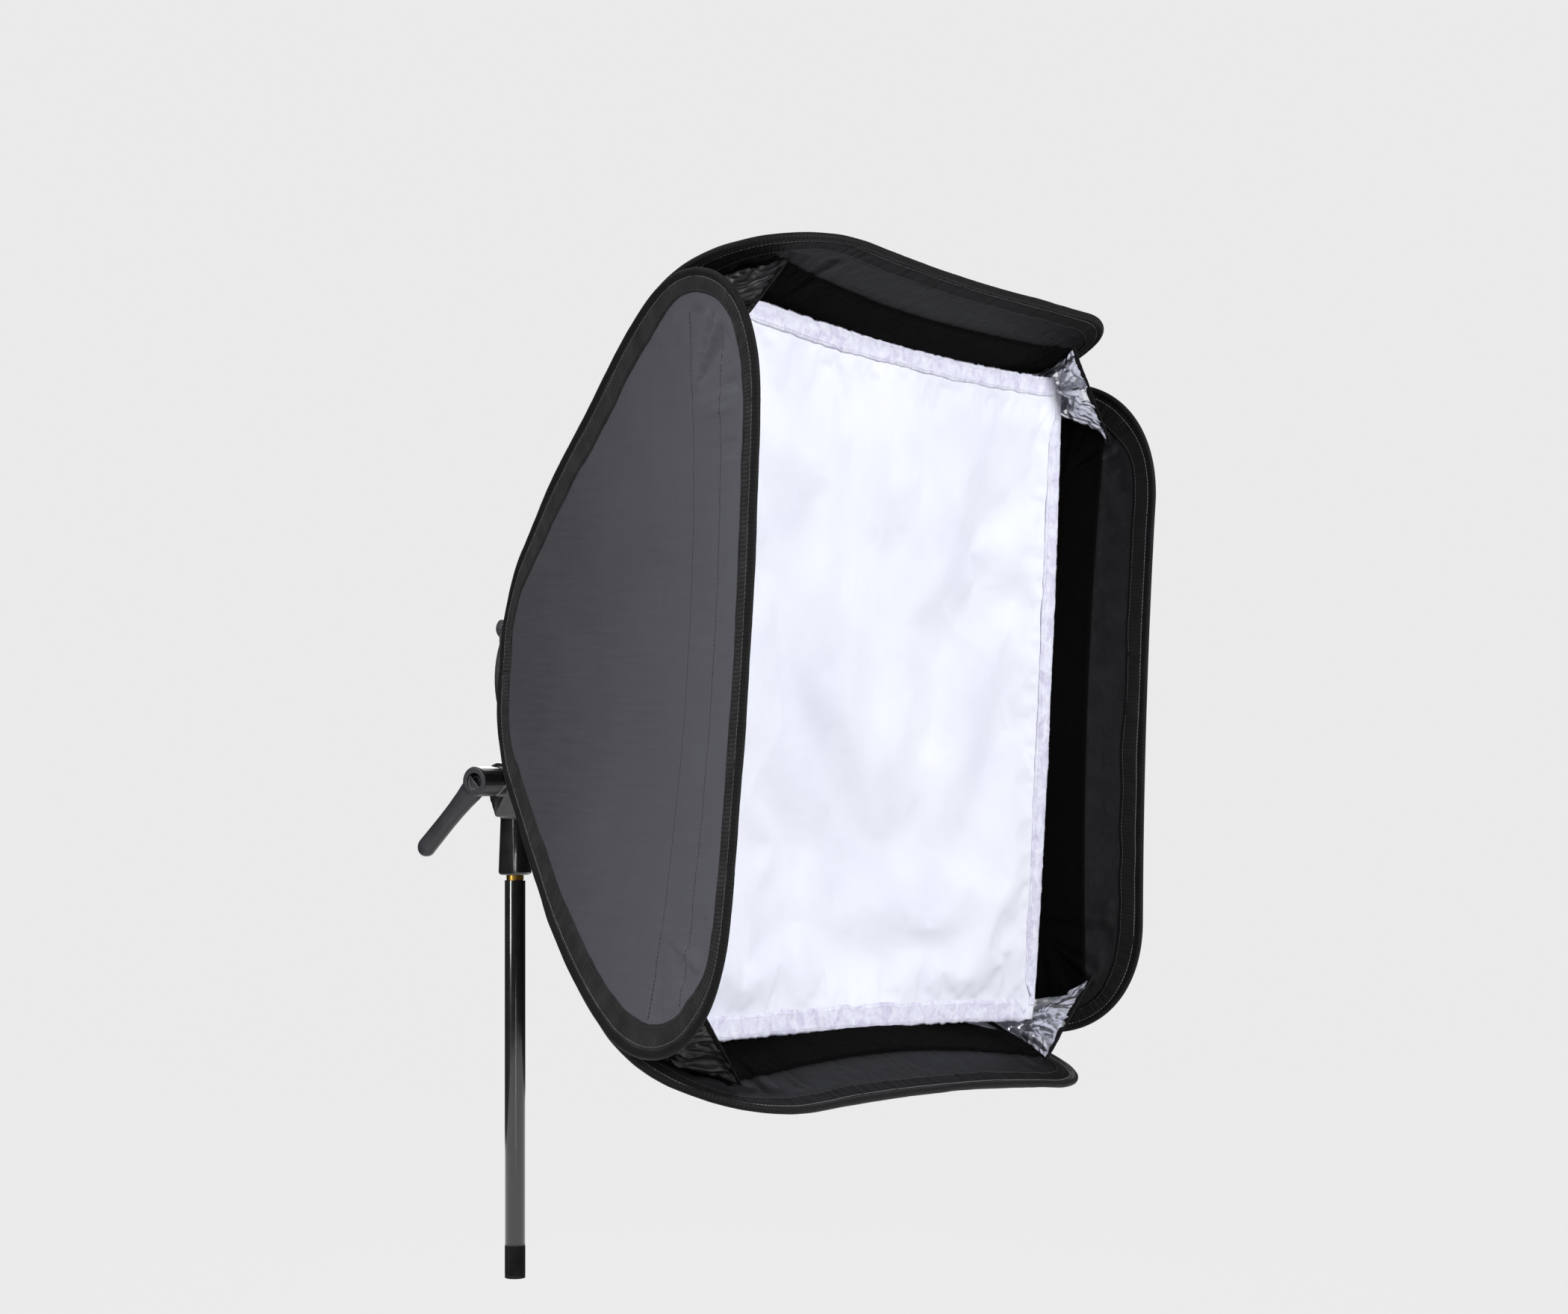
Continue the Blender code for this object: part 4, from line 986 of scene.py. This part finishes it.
def flat_uv(across, along):
    """UVs for a grid, from a row and a column of distances."""
    across, along = np.broadcast_arrays(across, along)
    return np.stack([across, along], -1)


def cloth_slab(name, grid, thick, materials, uv, inner_slot=None):
    """Closed sheet of a thickness in frame metres round a grid of frame points."""
    normal = normals_of(grid) * thick / 2
    inverse = np.array(SOFTBOX.inverted())

    def back(points):
        return (points @ inverse[:3, :3].T + inverse[:3, 3]) / MM

    return slab(name, back(grid + normal), back(grid - normal), materials, uv, inner_slot)


def make_gusset(corner):
    """Silver web across a corner, sewn to two panels, with slack that folds inwards."""
    index = CORNERS.index(corner)
    one, two = SIDES[index], SIDES[(index + 1) % 4]
    rows, columns = 41, 33
    u, v = np.linspace(0.0, 1.0, rows), np.linspace(0.0, 1.0, columns)
    s = FRONT - WEB_START + u * (WEB_START - WEB_END)
    w = shell.half_width(s, 0.0) - 10.0 - 33.0 * u
    first = shell.point(one, s, w, -3.6)
    second = shell.point(two, s, -w, -3.6)
    share = v[None, :, None]
    grid = first[:, None] * (1 - share) + second[:, None] * share
    taut = smooth(u, 0.0, 0.4) * smooth(1 - u, 0.0, 0.25)
    arch = (np.sin(math.pi * v)[None, :] * taut[:, None])[..., None]
    inward = -unit(grid.mean(1, keepdims=True) * (1, 0, 1))
    seed = 131 + 9 * index
    gap = np.linalg.norm(second - first, axis=1)[:, None]
    fold = waves(v[None, :] * 5.0, u[:, None] * 1.2, seed, 3) * 0.13 * gap
    grid = in_frame(grid + arch * inward * (0.07 * gap + fold)[..., None])
    pinned = np.zeros((rows, columns))
    pinned[:, 0] = pinned[:, -1] = pinned[0] = pinned[-1] = 1.0
    grid = finer(settled(grid, pinned, WEB_FRAMES, -0.05, 0.25, 0.4), 4)
    rows, columns = grid.shape[:2]
    a, b = np.linspace(0, 1, rows)[:, None], np.linspace(0, 1, columns)[None, :]
    rim = np.minimum(np.minimum(a, 1 - a) * WEB_LONG, np.minimum(b, 1 - b) * 120)
    fine = 3.4 * creases(a * 0.7 + b * 0.5, b * 4.6, seed + 3, 2)
    fine += 0.7 * creases(a * 2.2, b * 13, seed + 4, 2)
    fine = fine * smooth(rim, 1, 14) * MM
    grid = grid + normals_of(grid) * fine[..., None]
    uv = flat_uv(b * WEB_WIDE, a * WEB_LONG)
    towards_axis = in_frame(np.array([0.0, -420.0, 0.0])) - grid.mean((0, 1))
    facing = np.sum(normals_of(grid).mean((0, 1)) * towards_axis)
    materials = [SILVER, SATIN] if facing > 0 else [SATIN, SILVER]
    slots = np.ones((rows - 1) * (columns - 1), int)
    obj = cloth_slab(f"corner_web_{corner}", grid, 0.5 * MM, materials, uv, slots)
    sewn_on(obj, "silver_nylon", f"gusset_{corner}")
    back, over = unit(grid[-9] - grid[-1]), normals_of(grid)[-2]
    strip = folded_strip(f"web_hem_{corner}", grid[-1], back, over, 4.5 * MM, seed + 5)
    sewn_on(strip, "binding")
    return obj


def folded_strip(name, edge, inward, over, width, seed):
    """Flat binding folded over an edge line given in frame points."""
    across = np.array([1.0, 0.86, 0.6, 0.3, 0.12, 0.0, -0.07, -0.1])
    high = np.array([0.3, 0.6, 0.7, 0.8, 0.9, 0.85, 0.5, 0.0]) * MM
    across = np.concatenate([across, across[-2::-1]])
    high = np.concatenate([high, -high[-2::-1]])
    run = run_along(edge)
    puff = 1 + 0.3 * waves(run[:, None] / 0.006, across[None, :] * 2, seed, 3)
    points = (
        edge[:, None] + inward[:, None] * (across * width)[None, :, None]
        + over[:, None] * (high[None, :] * puff)[..., None]
    )
    rows, columns = points.shape[:2]
    faces = grid_faces(rows, columns, 0, False, True).tolist()
    faces.append(list(range(columns)))
    faces.append(list(range((rows - 1) * columns, rows * columns))[::-1])
    uv = flat_uv(run[:, None], across[None, :] * width).reshape(-1, 2)
    obj = add_mesh(name, points.reshape(-1, 3), faces, [BLACK_AND_SHADED_HEM], uv)
    face_outwards(obj)
    return obj


def diffuser_edge(w, side):
    """Distance from the middle of the diffuser to one of its edges, at w along it."""
    middle, flare, slant = DIFFUSER_REACH[side]
    share = np.asarray(w) / DIFFUSER_CORNER
    return middle + flare * share**2 + slant * share


def diffuser_forward(u, v):
    """How far forward the diffuser lies, for u and v from -1 to 1."""
    ahead = DIFFUSER_AHEAD["right"] * np.maximum(u, 0) ** 2 * (1 - v**2)
    ahead += DIFFUSER_AHEAD["top"] * np.maximum(v, 0) ** 2 * (1 - u**2)
    ahead += DIFFUSER_AHEAD["bottom"] * np.maximum(-v, 0) ** 2 * (1 - u**2)
    return DIFFUSER_FORWARD + ahead - DIFFUSER_SAG * (1 - u**2) * (1 - v**2)


def chamfered(x, up, reach):
    """The point, drawn in where |x| + |up| would pass reach."""
    over = np.maximum(np.abs(x) + np.abs(up) - reach, 0.0) / 2
    return x - np.sign(x) * over, up - np.sign(up) * over


def diffuser_point(u, v, lift):
    """Softbox points on the diffuser for u and v from -1 to 1; lift moves them forward."""
    across, along = u * DIFFUSER_HALF, v * DIFFUSER_HALF
    x = u * np.where(u > 0, diffuser_edge(along, "right"), diffuser_edge(along, "left"))
    up = v * np.where(v > 0, diffuser_edge(across, "top"), diffuser_edge(across, "bottom"))
    x, up = chamfered(x, up, DIFFUSER_CHAMFER)
    return np.stack([x, -(diffuser_forward(u, v) + lift), up], -1)


def make_diffuser():
    q = np.linspace(-1.0, 1.0, 91)
    u, v = np.meshgrid(q, q, indexing="ij")
    reach = np.maximum(np.abs(u), np.abs(v))
    start = 1.6 * waves(u * 2.6, v * 2.2, 171, 3) * smooth(1 - reach, 0.0, 0.2)
    grid = in_frame(diffuser_point(u, v, start))
    pinned = np.where(reach > 0.93, 1.0, 0.0)
    grid = finer(settled(grid, pinned, DIFFUSER_FRAMES, -0.006, 0.03, 2.5), 4)
    a = np.linspace(0, DIFFUSER_WIDE, grid.shape[0])[:, None]
    b = a.T
    middle = DIFFUSER_WIDE / 2
    inside = smooth(middle - np.maximum(np.abs(a - middle), np.abs(b - middle)), 16, 60)
    slant = 0.85 * np.maximum(creases((a + b * 0.7) / 150, (a - b) / 330, 173, 2), 0) ** 3
    soft = 0.8 * waves(a / 70, b / 90, 175, 3)
    grid = grid + normals_of(grid) * ((slant + soft) * inside * MM)[..., None]
    obj = cloth_slab("diffuser_cloth", grid, 0.4 * MM, [DIFFUSION], flat_uv(a, b))
    sewn_on(obj, "white_nylon", "diffuser")
    tapes = [make_hook_tape(name) for name in SIDES]


def make_hook_tape(side):
    """Puckered hook tape along one border of the diffuser, wavy on its inner edge."""
    seed = 181 + 9 * SIDES.index(side)
    rows, columns = 13, 520
    run = np.linspace(-1, 1, columns)[None, :] * DIFFUSER_HALF * 0.985
    width = TAPE_WIDTH[side] + 0.9 * waves(run / 26, 0, seed, 3)
    width = width + 0.5 * waves(run / 8, 0, seed + 1, 2)
    outer = 1.0 + 0.6 * waves(run / 7, 3, seed + 2, 3)
    depth = np.linspace(0, 1, rows)[:, None]
    inset = -outer + (outer + width) * depth
    mitre = np.minimum(1, (DIFFUSER_HALF - np.abs(run)) / np.maximum(inset + 6, 1))
    keep = np.clip(mitre, 0.55, 1)
    inset = np.where(np.abs(run) > DIFFUSER_HALF - 30, inset * keep, inset)
    w = np.broadcast_to(run, inset.shape)
    edge_at = diffuser_edge(w if side in ("left", "top") else -w, side)
    out = edge_at - inset
    x, up = chamfered(*turned(side, out, w), DIFFUSER_CHAMFER + 3)
    block = waves(run / 9.5, depth * 1.6, seed + 3, 2)
    block = block + 0.5 * waves(run / 3.4, depth * 3, seed + 4)
    rim = smooth(np.minimum(depth, 1 - depth), 0.0, 0.16)
    u, v = turned(side, out / edge_at, w / DIFFUSER_HALF)
    under = diffuser_forward(u, v) + 0.25
    lift = under + 0.35 + rim * (0.9 + 0.6 * np.clip(block, -0.8, 1.6))
    low = np.stack([x, -under, up], -1)
    high = np.stack([x, -lift, up], -1)
    uv = np.stack([w + 400 * SIDES.index(side), inset], -1)
    obj = slab(f"diffuser_tape_{side}", high, low, [HOOK], uv)
    sewn_on(obj, "white_hook", f"hook_tape_{side}")
    rng = np.random.default_rng(seed)
    i = rng.integers(1, rows - 1, HOOKS)
    j = rng.integers(1, columns - 1, HOOKS)
    edge = rng.uniform(0, 1, HOOKS) < 0.3
    i = np.where(edge, 0, i)
    roots = high[i, j] + rng.uniform(-0.5, 0.5, (HOOKS, 3)) * (1, 0, 1)
    way = np.where(edge[:, None], unit(high[0, j] - high[-1, j]), (0.0, -1.0, 0.0))
    verts, faces = needles(rng, roots, way, 0.9, 0.13, 0.5)
    fuzz = add_mesh(f"tape_hooks_{side}", in_frame(verts), faces, [HOOK], np.zeros((len(verts), 2)))
    sewn_on(fuzz, "white_hook")
    rows_of = []
    for at in (2, -3):
        line = in_frame(np.stack([x[at], -(lift[at] + 0.1), up[at]], -1))
        rows_of += dashes(line[6:-6], 3.2 * MM, 2.2 * MM)
    sewn = tubes(f"tape_stitching_{side}", rows_of, 0.22 * MM, WHITE_THREAD)
    sewn_on(sewn, "white_hook")
    return obj


# ---------------------------------------------------------------- collar
# (forward, half width, squareness) from the sleeve in the ring to the boot in the shell
COLLAR_STAGES = ((32.2, 58.8, 2.0), (43.2, 58.8, 2.0), (45.4, 62.0, 2.3), (47.4, 70.0, 3.0),
                 (50.2, 77.0, 5.0), (64.0, 87.5, 8.0), (78.0, 96.5, 10.0))


def make_collar():
    """Gathered boot from the clamp ring out to the square opening of the panels."""
    rows, columns = 60, 560
    stages = np.array(COLLAR_STAGES)
    forward = np.linspace(stages[0, 0], stages[-1, 0], rows)
    half = np.interp(forward, stages[:, 0], stages[:, 1])[:, None]
    power = np.interp(forward, stages[:, 0], stages[:, 2])[:, None]
    angle = np.linspace(0, 2 * math.pi, columns + 1)[:-1][None, :]
    sides = np.abs(np.cos(angle)) ** power + np.abs(np.sin(angle)) ** power
    radius = half / sides ** (1 / power)
    open_part = smooth(forward, 43, 54)[:, None]
    turn_wave = 0.5 * np.sin(7 * angle) + 0.4 * np.sin(11 * angle + 1.3)
    pleat = 0.5 + 0.5 * np.sin(46 * angle + turn_wave)
    radius = radius - open_part * 1.5 * (1 - pleat**2)
    layers = []
    for lift in (0.55, -0.55):
        r = radius + lift
        points = np.stack([r * np.cos(angle), -forward[:, None] + 0 * r, r * np.sin(angle)], -1)
        layers.append(points)
    outer, inner = layers
    points = np.concatenate([outer, inner[::-1]])
    faces = grid_faces(2 * rows, columns, 0, True, True)
    run = np.concatenate([forward, forward[::-1]])[:, None]
    uv = np.stack([angle * 70 + 0 * run, run + 0 * angle], -1)
    obj = add_mesh("collar_boot", in_frame(points).reshape(-1, 3), faces, [BLACK_AND_SHADED_HEM],
                   uv.reshape(-1, 2) * MM)
    face_outwards(obj)
    sewn_on(obj, "binding", "mount_collar")
    return obj


# ---------------------------------------------------------------- bracket
def copy_of(node, name, material):
    """A copy of a CAD node's shape in the frame, welded and with flat runs merged."""
    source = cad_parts[node]
    mesh = source.data.copy()
    mesh.transform(source.matrix_world)
    mesh.materials.clear()
    mesh.materials.append(material)
    bm = bmesh.new()
    bm.from_mesh(mesh)
    bmesh.ops.remove_doubles(bm, verts=bm.verts, dist=0.004 * MM)
    bmesh.ops.dissolve_limit(
        bm, angle_limit=math.radians(0.6), verts=bm.verts, edges=bm.edges
    )
    bm.to_mesh(mesh)
    bm.free()
    obj = bpy.data.objects.new(name, mesh)
    bpy.context.scene.collection.objects.link(obj)
    return obj


def applied(obj):
    """The object with its modifiers worked into its mesh."""
    graph = bpy.context.evaluated_depsgraph_get()
    mesh = bpy.data.meshes.new_from_object(obj.evaluated_get(graph))
    obj.modifiers.clear()
    obj.data = mesh
    return obj


def shaded(obj, degrees):
    mesh = obj.data
    mesh.polygons.foreach_set("use_smooth", [True] * len(mesh.polygons))
    mesh.set_sharp_from_angle(angle=math.radians(degrees))
    return obj


def reshaped(obj, shape):
    """Moves the object's points by a rule on (x, forward, up) in bracket-head millimetres."""
    to_head = HEAD.inverted()
    for vertex in obj.data.vertices:
        x, back, up = to_head @ vertex.co / MM
        x, forward, up = shape(x, -back, up)
        vertex.co = head_point(x, forward, up)


def machined(node, name, body, slot, bevel, shape=None, material=None):
    """A cut or turned piece: the CAD shape with its edges broken."""
    obj = copy_of(node, name, material or SURFACES[slot])
    if shape:
        reshaped(obj, shape)
    change = obj.modifiers.new("edges", "BEVEL")
    change.width = bevel * MM
    change.segments = 3
    change.limit_method = "ANGLE"
    change.angle_limit = math.radians(32)
    change.harden_normals = False
    return place_on(body, shaded(applied(obj), 38), slot, node)


def cast(node, name, body, slot, voxel, rounds, extra=None, shape=None, material=None):
    """A cast or moulded piece: the CAD shape with soft fillets everywhere. extra is one more
    solid grown into it, and shape moves its points first."""
    obj = copy_of(node, name, material or SURFACES[slot])
    if shape:
        reshaped(obj, shape)
    if extra:
        bm = bmesh.new()
        bm.from_mesh(obj.data)
        bm.from_mesh(extra.data)
        bm.to_mesh(obj.data)
        bm.free()
        bpy.data.objects.remove(extra)
    change = obj.modifiers.new("skin", "REMESH")
    change.mode = "VOXEL"
    change.voxel_size = voxel * MM
    change.use_smooth_shade = True
    change = obj.modifiers.new("fillet", "SMOOTH")
    change.factor = 0.5
    change.iterations = rounds
    applied(obj)
    obj.data.polygons.foreach_set("use_smooth", [True] * len(obj.data.polygons))
    return place_on(body, obj, slot, node)


def lathe(name, profile, material, sides):
    """Piece turned from (radius, height) points in millimetres about the frame's Z axis."""
    angle = turns_of(sides)
    radius, height = (np.asarray(profile, float) * MM).T[..., None]
    radius, height = radius + 0 * angle, height + 0 * angle
    points = np.stack([-radius * np.sin(angle), radius * np.cos(angle), height], -1)
    faces = grid_faces(len(profile), sides, 0, True, True)
    uv = np.stack([angle * 0.01 + 0 * radius, height], -1)
    obj = add_mesh(name, points.reshape(-1, 3), faces, [material], uv.reshape(-1, 2))
    face_outwards(obj)
    return shaded(obj, 40)


def rounded(profile, radius=0.6, steps=4):
    """A closed (radius, distance) profile with each corner taken off by a small arc."""
    profile = np.asarray(profile, float)
    made = []
    count = len(profile)
    for k in range(count):
        here, back, ahead = profile[k], profile[k - 1], profile[(k + 1) % count]
        to_back, to_ahead = back - here, ahead - here
        cut = min(radius, 0.45 * np.hypot(*to_back), 0.45 * np.hypot(*to_ahead))
        a = here + to_back / np.hypot(*to_back) * cut
        b = here + to_ahead / np.hypot(*to_ahead) * cut
        for t in np.linspace(0, 1, steps):
            made.append((1 - t) ** 2 * a + 2 * t * (1 - t) * here + t**2 * b)
    return np.array(made)


def head_point(x, forward, up):
    """Bracket-head millimetres to frame metres."""
    return HEAD @ Vector((x * MM, -forward * MM, up * MM))


LEVER_ANGLE = math.radians(224.7)
TUBE = ((9.5, 8.3), (1.5, 366.6))


def make_stand():
    (outer, bore), (low, high) = TUBE
    profile = rounded([(outer, low + 1.5), (outer, high), (bore, high), (bore, low + 1.5)], 0.5)
    tube = lathe("stand_tube_skin", profile, TUBE_PAINT, 128)
    place_on("stand", tube, "black_tube", "stand_tube")
    machined("tube_end_plug", "tube_foot_plug", "stand", "rubber", 0.6)
    machined("spigot", "brass_spigot", "stand", "brass", 0.5)


def lever_bar():
    """Full rounded arm of the lever, from inside its hub to its rounded end."""
    end, tip = 8.9, 94.6
    round_at = tip - end + end * np.sin(np.linspace(0, 0.49 * math.pi, 14))
    at = np.concatenate([np.linspace(0, tip - end - 1, 43), round_at])
    half = np.interp(at, (0, 12, 24, 38, 52, 70, tip - end), (10.5, 11, 9.6, 8.7, 8.4, 8.6, end))
    cap = np.sqrt(np.maximum(1 - (np.maximum(at - tip + end, 0) / end) ** 2, 0.0))
    half = half * cap
    deep = np.interp(at, (0, 30, 76, tip), (6.6, 6.1, 5.6, 5.4)) * np.sqrt(cap)
    angle = np.linspace(0, 2 * math.pi, 33)[:-1]
    power = 0.72
    across = np.sign(np.cos(angle)) * np.abs(np.cos(angle)) ** power
    out = np.sign(np.sin(angle)) * np.abs(np.sin(angle)) ** power
    way = np.array([math.cos(LEVER_ANGLE), math.sin(LEVER_ANGLE)])
    side = np.array([-way[1], way[0]])
    middle_x = np.interp(at, (0, tip), (-52.2, -53.2))
    flat = at[:, None, None] * way + (half[:, None] * across)[..., None] * side
    x = middle_x[:, None] + deep[:, None] * out
    points = np.stack([x, -flat[..., 0], flat[..., 1] + TILT_HEIGHT / MM], -1) * MM
    faces = grid_faces(len(at), 32, 0, False, True).tolist()
    faces.append(list(range(32)))
    faces.append(list(range(32 * (len(at) - 1), 32 * len(at)))[::-1])
    obj = add_mesh("lever_bar", points.reshape(-1, 3), faces, [MOULDED])
    face_outwards(obj)
    return obj


def slim_ears(x, forward, up):
    """Draws the socket's ears in below the pivot, down to the width of its barrel."""
    if abs(x) > 11.0:
        share = 1 - 0.82 * float(smooth(-up, 4.0, 30.0))
        x = math.copysign(11.0 + (abs(x) - 11.0) * share, x)
    return x, forward, up


def tapered_foot(x, forward, up):
    """Draws in the lower corners of the flash clamp's frame."""
    return x * (1 - 0.14 * (1 - float(smooth(up, 34.0, 64.0)))), forward, up


# CAD node, piece, body, slot, width of its broken edges in mm, then where needed a rule that
# moves its points and a material of its own
CUT_PIECES = (
    ("tilt_bolt", "pivot_bolt", "socket", "steel", 0.3),
    ("friction_disc_left", "fibre_disc_left", "socket", "rubber", 0.3),
    ("friction_disc_right", "fibre_disc_right", "socket", "rubber", 0.3),
    ("stand_lock_screw", "side_screw", "stand_lock_screw", "steel", 0.3),
    ("stand_lock_knob", "side_knob", "stand_lock_knob", "black_plastic", 0.7),
    ("lever_insert", "lever_bush", "lever_core", "steel", 0.25, None, BLACKED),
    ("lever_screw", "lever_cap_screw", "lever_core", "steel", 0.25, None, BLACKED),
    ("lower_pad", "lower_rubber", "head", "rubber", 0.5),
    ("upper_pad", "upper_rubber", "jaw", "rubber", 0.5),
    ("upper_jaw", "jaw_bar", "jaw", "black_casting", 0.7),
    ("flash_frame", "clamp_frame", "head", "black_casting", 1.5, tapered_foot),
    ("jaw_screw", "jaw_thread", "jaw_screw", "steel", 0.3),
    ("jaw_knob", "jaw_handle", "jaw_screw", "black_plastic", 0.7),
    ("ring_lock_pin", "lock_pin", "ring_lock", "steel", 0.25),
    ("ring_lock_finger", "lock_finger", "ring_lock", "steel", 0.4),
    ("ring_lock_knob", "lock_knob", "ring_lock", "black_plastic", 0.5),
    ("clamp_ring", "ring_casting", "head", "black_casting", 0.6),
    ("collar_hoop", "hoop_wire", "softbox", "steel", 0.2),
)


def make_brackets():
    cast("stand_socket", "socket_casting", "socket", "black_casting", 0.8, 5,
         shape=slim_ears, material=SOCKET_PAINT)
    cast("tilt_neck", "neck_casting", "head", "black_casting", 0.8, 4)
    cast("tilt_lever", "lever_arm", "tilt_lever", "black_plastic", 0.5, 4, extra=lever_bar())
    for row in CUT_PIECES:
        machined(*row)


def finish_spring():
    """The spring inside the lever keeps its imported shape, in plated steel."""
    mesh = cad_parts["lever_spring"].data
    mesh.materials.clear()
    mesh.materials.append(STEEL)


# ---------------------------------------------------------------- studio
LENS = 69.9
SHIFT_UP = 0.0651
CAMERA_AT = (-2.2058, -1.7532, 0.4781)
CAMERA_YAW = math.radians(-56.57)


GLOW = 0.82
AMBIENT = 0.05
GLOSS_ONLY = ("floor_glow",)
# name, place, size and power of each soft light, and the point it faces
LAMPS = (
    ("key", (0.1, -3.5, 1.6), (2.2, 2.2), 176.0, (0.0, -0.3, 0.5)),
    ("top", (-0.8, 0.9, 2.9), (1.2, 1.2), 30.0, (0.0, -0.2, 0.5)),
    ("side", (-3.3, 0.7, 1.6), (0.8, 2.4), 100.0, (0.0, -0.1, 0.45)),
    ("rear", (2.9, 1.7, 1.9), (1.6, 1.6), 90.0, (0.0, -0.1, 0.5)),
    ("strip", (-2.3, -2.45, 0.7), (0.05, 2.6), 8.0, (0.0, 0.0, 0.3)),
    ("floor_glow", (-0.7, -1.3, 0.03), (3.8, 3.8), 55.0, (-0.7, -1.3, 3.0)),
)


def make_cove():
    """A pale round cove with the object in the middle, open at the top. Its floor lies low
    enough for the softbox to tip right down."""
    reach, cove, top, floor = 5.2, 1.6, 6.0, -0.45
    profile = [(r, floor) for r in np.linspace(0.02, reach - cove, 12)]
    for k in range(1, 13):
        angle = math.pi / 2 * k / 12
        height = floor + cove - cove * math.cos(angle)
        profile.append((reach - cove + cove * math.sin(angle), height))
    profile.append((reach, top))
    profile = np.array(profile)
    sides = 96
    angle = turns_of(sides)
    height = profile[:, 1:2] + 0 * angle[None]
    verts = np.stack([profile[:, :1] * np.cos(angle), profile[:, :1] * np.sin(angle), height], -1)
    faces = grid_faces(len(profile), sides, 0, False, True).tolist()
    faces.append(list(range(sides))[::-1])
    shade = backdrop()
    shade.shader.inputs["Emission Color"].default_value = rgb("#ffffff")
    shade.shader.inputs["Emission Strength"].default_value = GLOW
    obj = add_mesh("studio_cove", verts.reshape(-1, 3), faces, [shade.material])
    obj.visible_diffuse = False
    obj.visible_glossy = False
    obj.visible_transmission = False


def make_lights():
    world = bpy.data.worlds.new("studio")
    world.use_nodes = True
    world.node_tree.nodes["Background"].inputs["Color"].default_value = rgb("#ffffff")
    world.node_tree.nodes["Background"].inputs["Strength"].default_value = AMBIENT
    bpy.context.scene.world = world
    for name, at, size, power, aim_at in LAMPS:
        light = bpy.data.lights.new(name, "AREA")
        light.shape = "RECTANGLE"
        light.size, light.size_y = size
        light.energy = power
        lamp = bpy.data.objects.new(name, light)
        lamp.location = at
        aim = Vector(aim_at) - Vector(at)
        lamp.rotation_euler = aim.to_track_quat("-Z", "Y").to_euler()
        lamp.visible_diffuse = name not in GLOSS_ONLY
        bpy.context.scene.collection.objects.link(lamp)


def make_camera():
    camera = bpy.data.cameras.new("photo_camera")
    camera.lens = LENS
    camera.sensor_width = 36.0
    camera.shift_y = SHIFT_UP
    obj = bpy.data.objects.new("photo_camera", camera)
    obj.location = CAMERA_AT
    obj.rotation_euler = (math.pi / 2, 0.0, CAMERA_YAW)
    bpy.context.scene.collection.objects.link(obj)
    bpy.context.scene.camera = obj


def build():
    for side in SIDES:
        panel, flat, area = make_panel(side)
        hem = make_hem(side)
        make_stitches(side)
        make_pile(side)
    for corner in CORNERS:
        make_gusset(corner)
    make_diffuser()
    make_collar()
    make_stand()
    make_brackets()
    finish_spring()
    make_cove()
    make_lights()
    make_camera()
    bpy.context.scene.view_settings.view_transform = "Standard"


build()
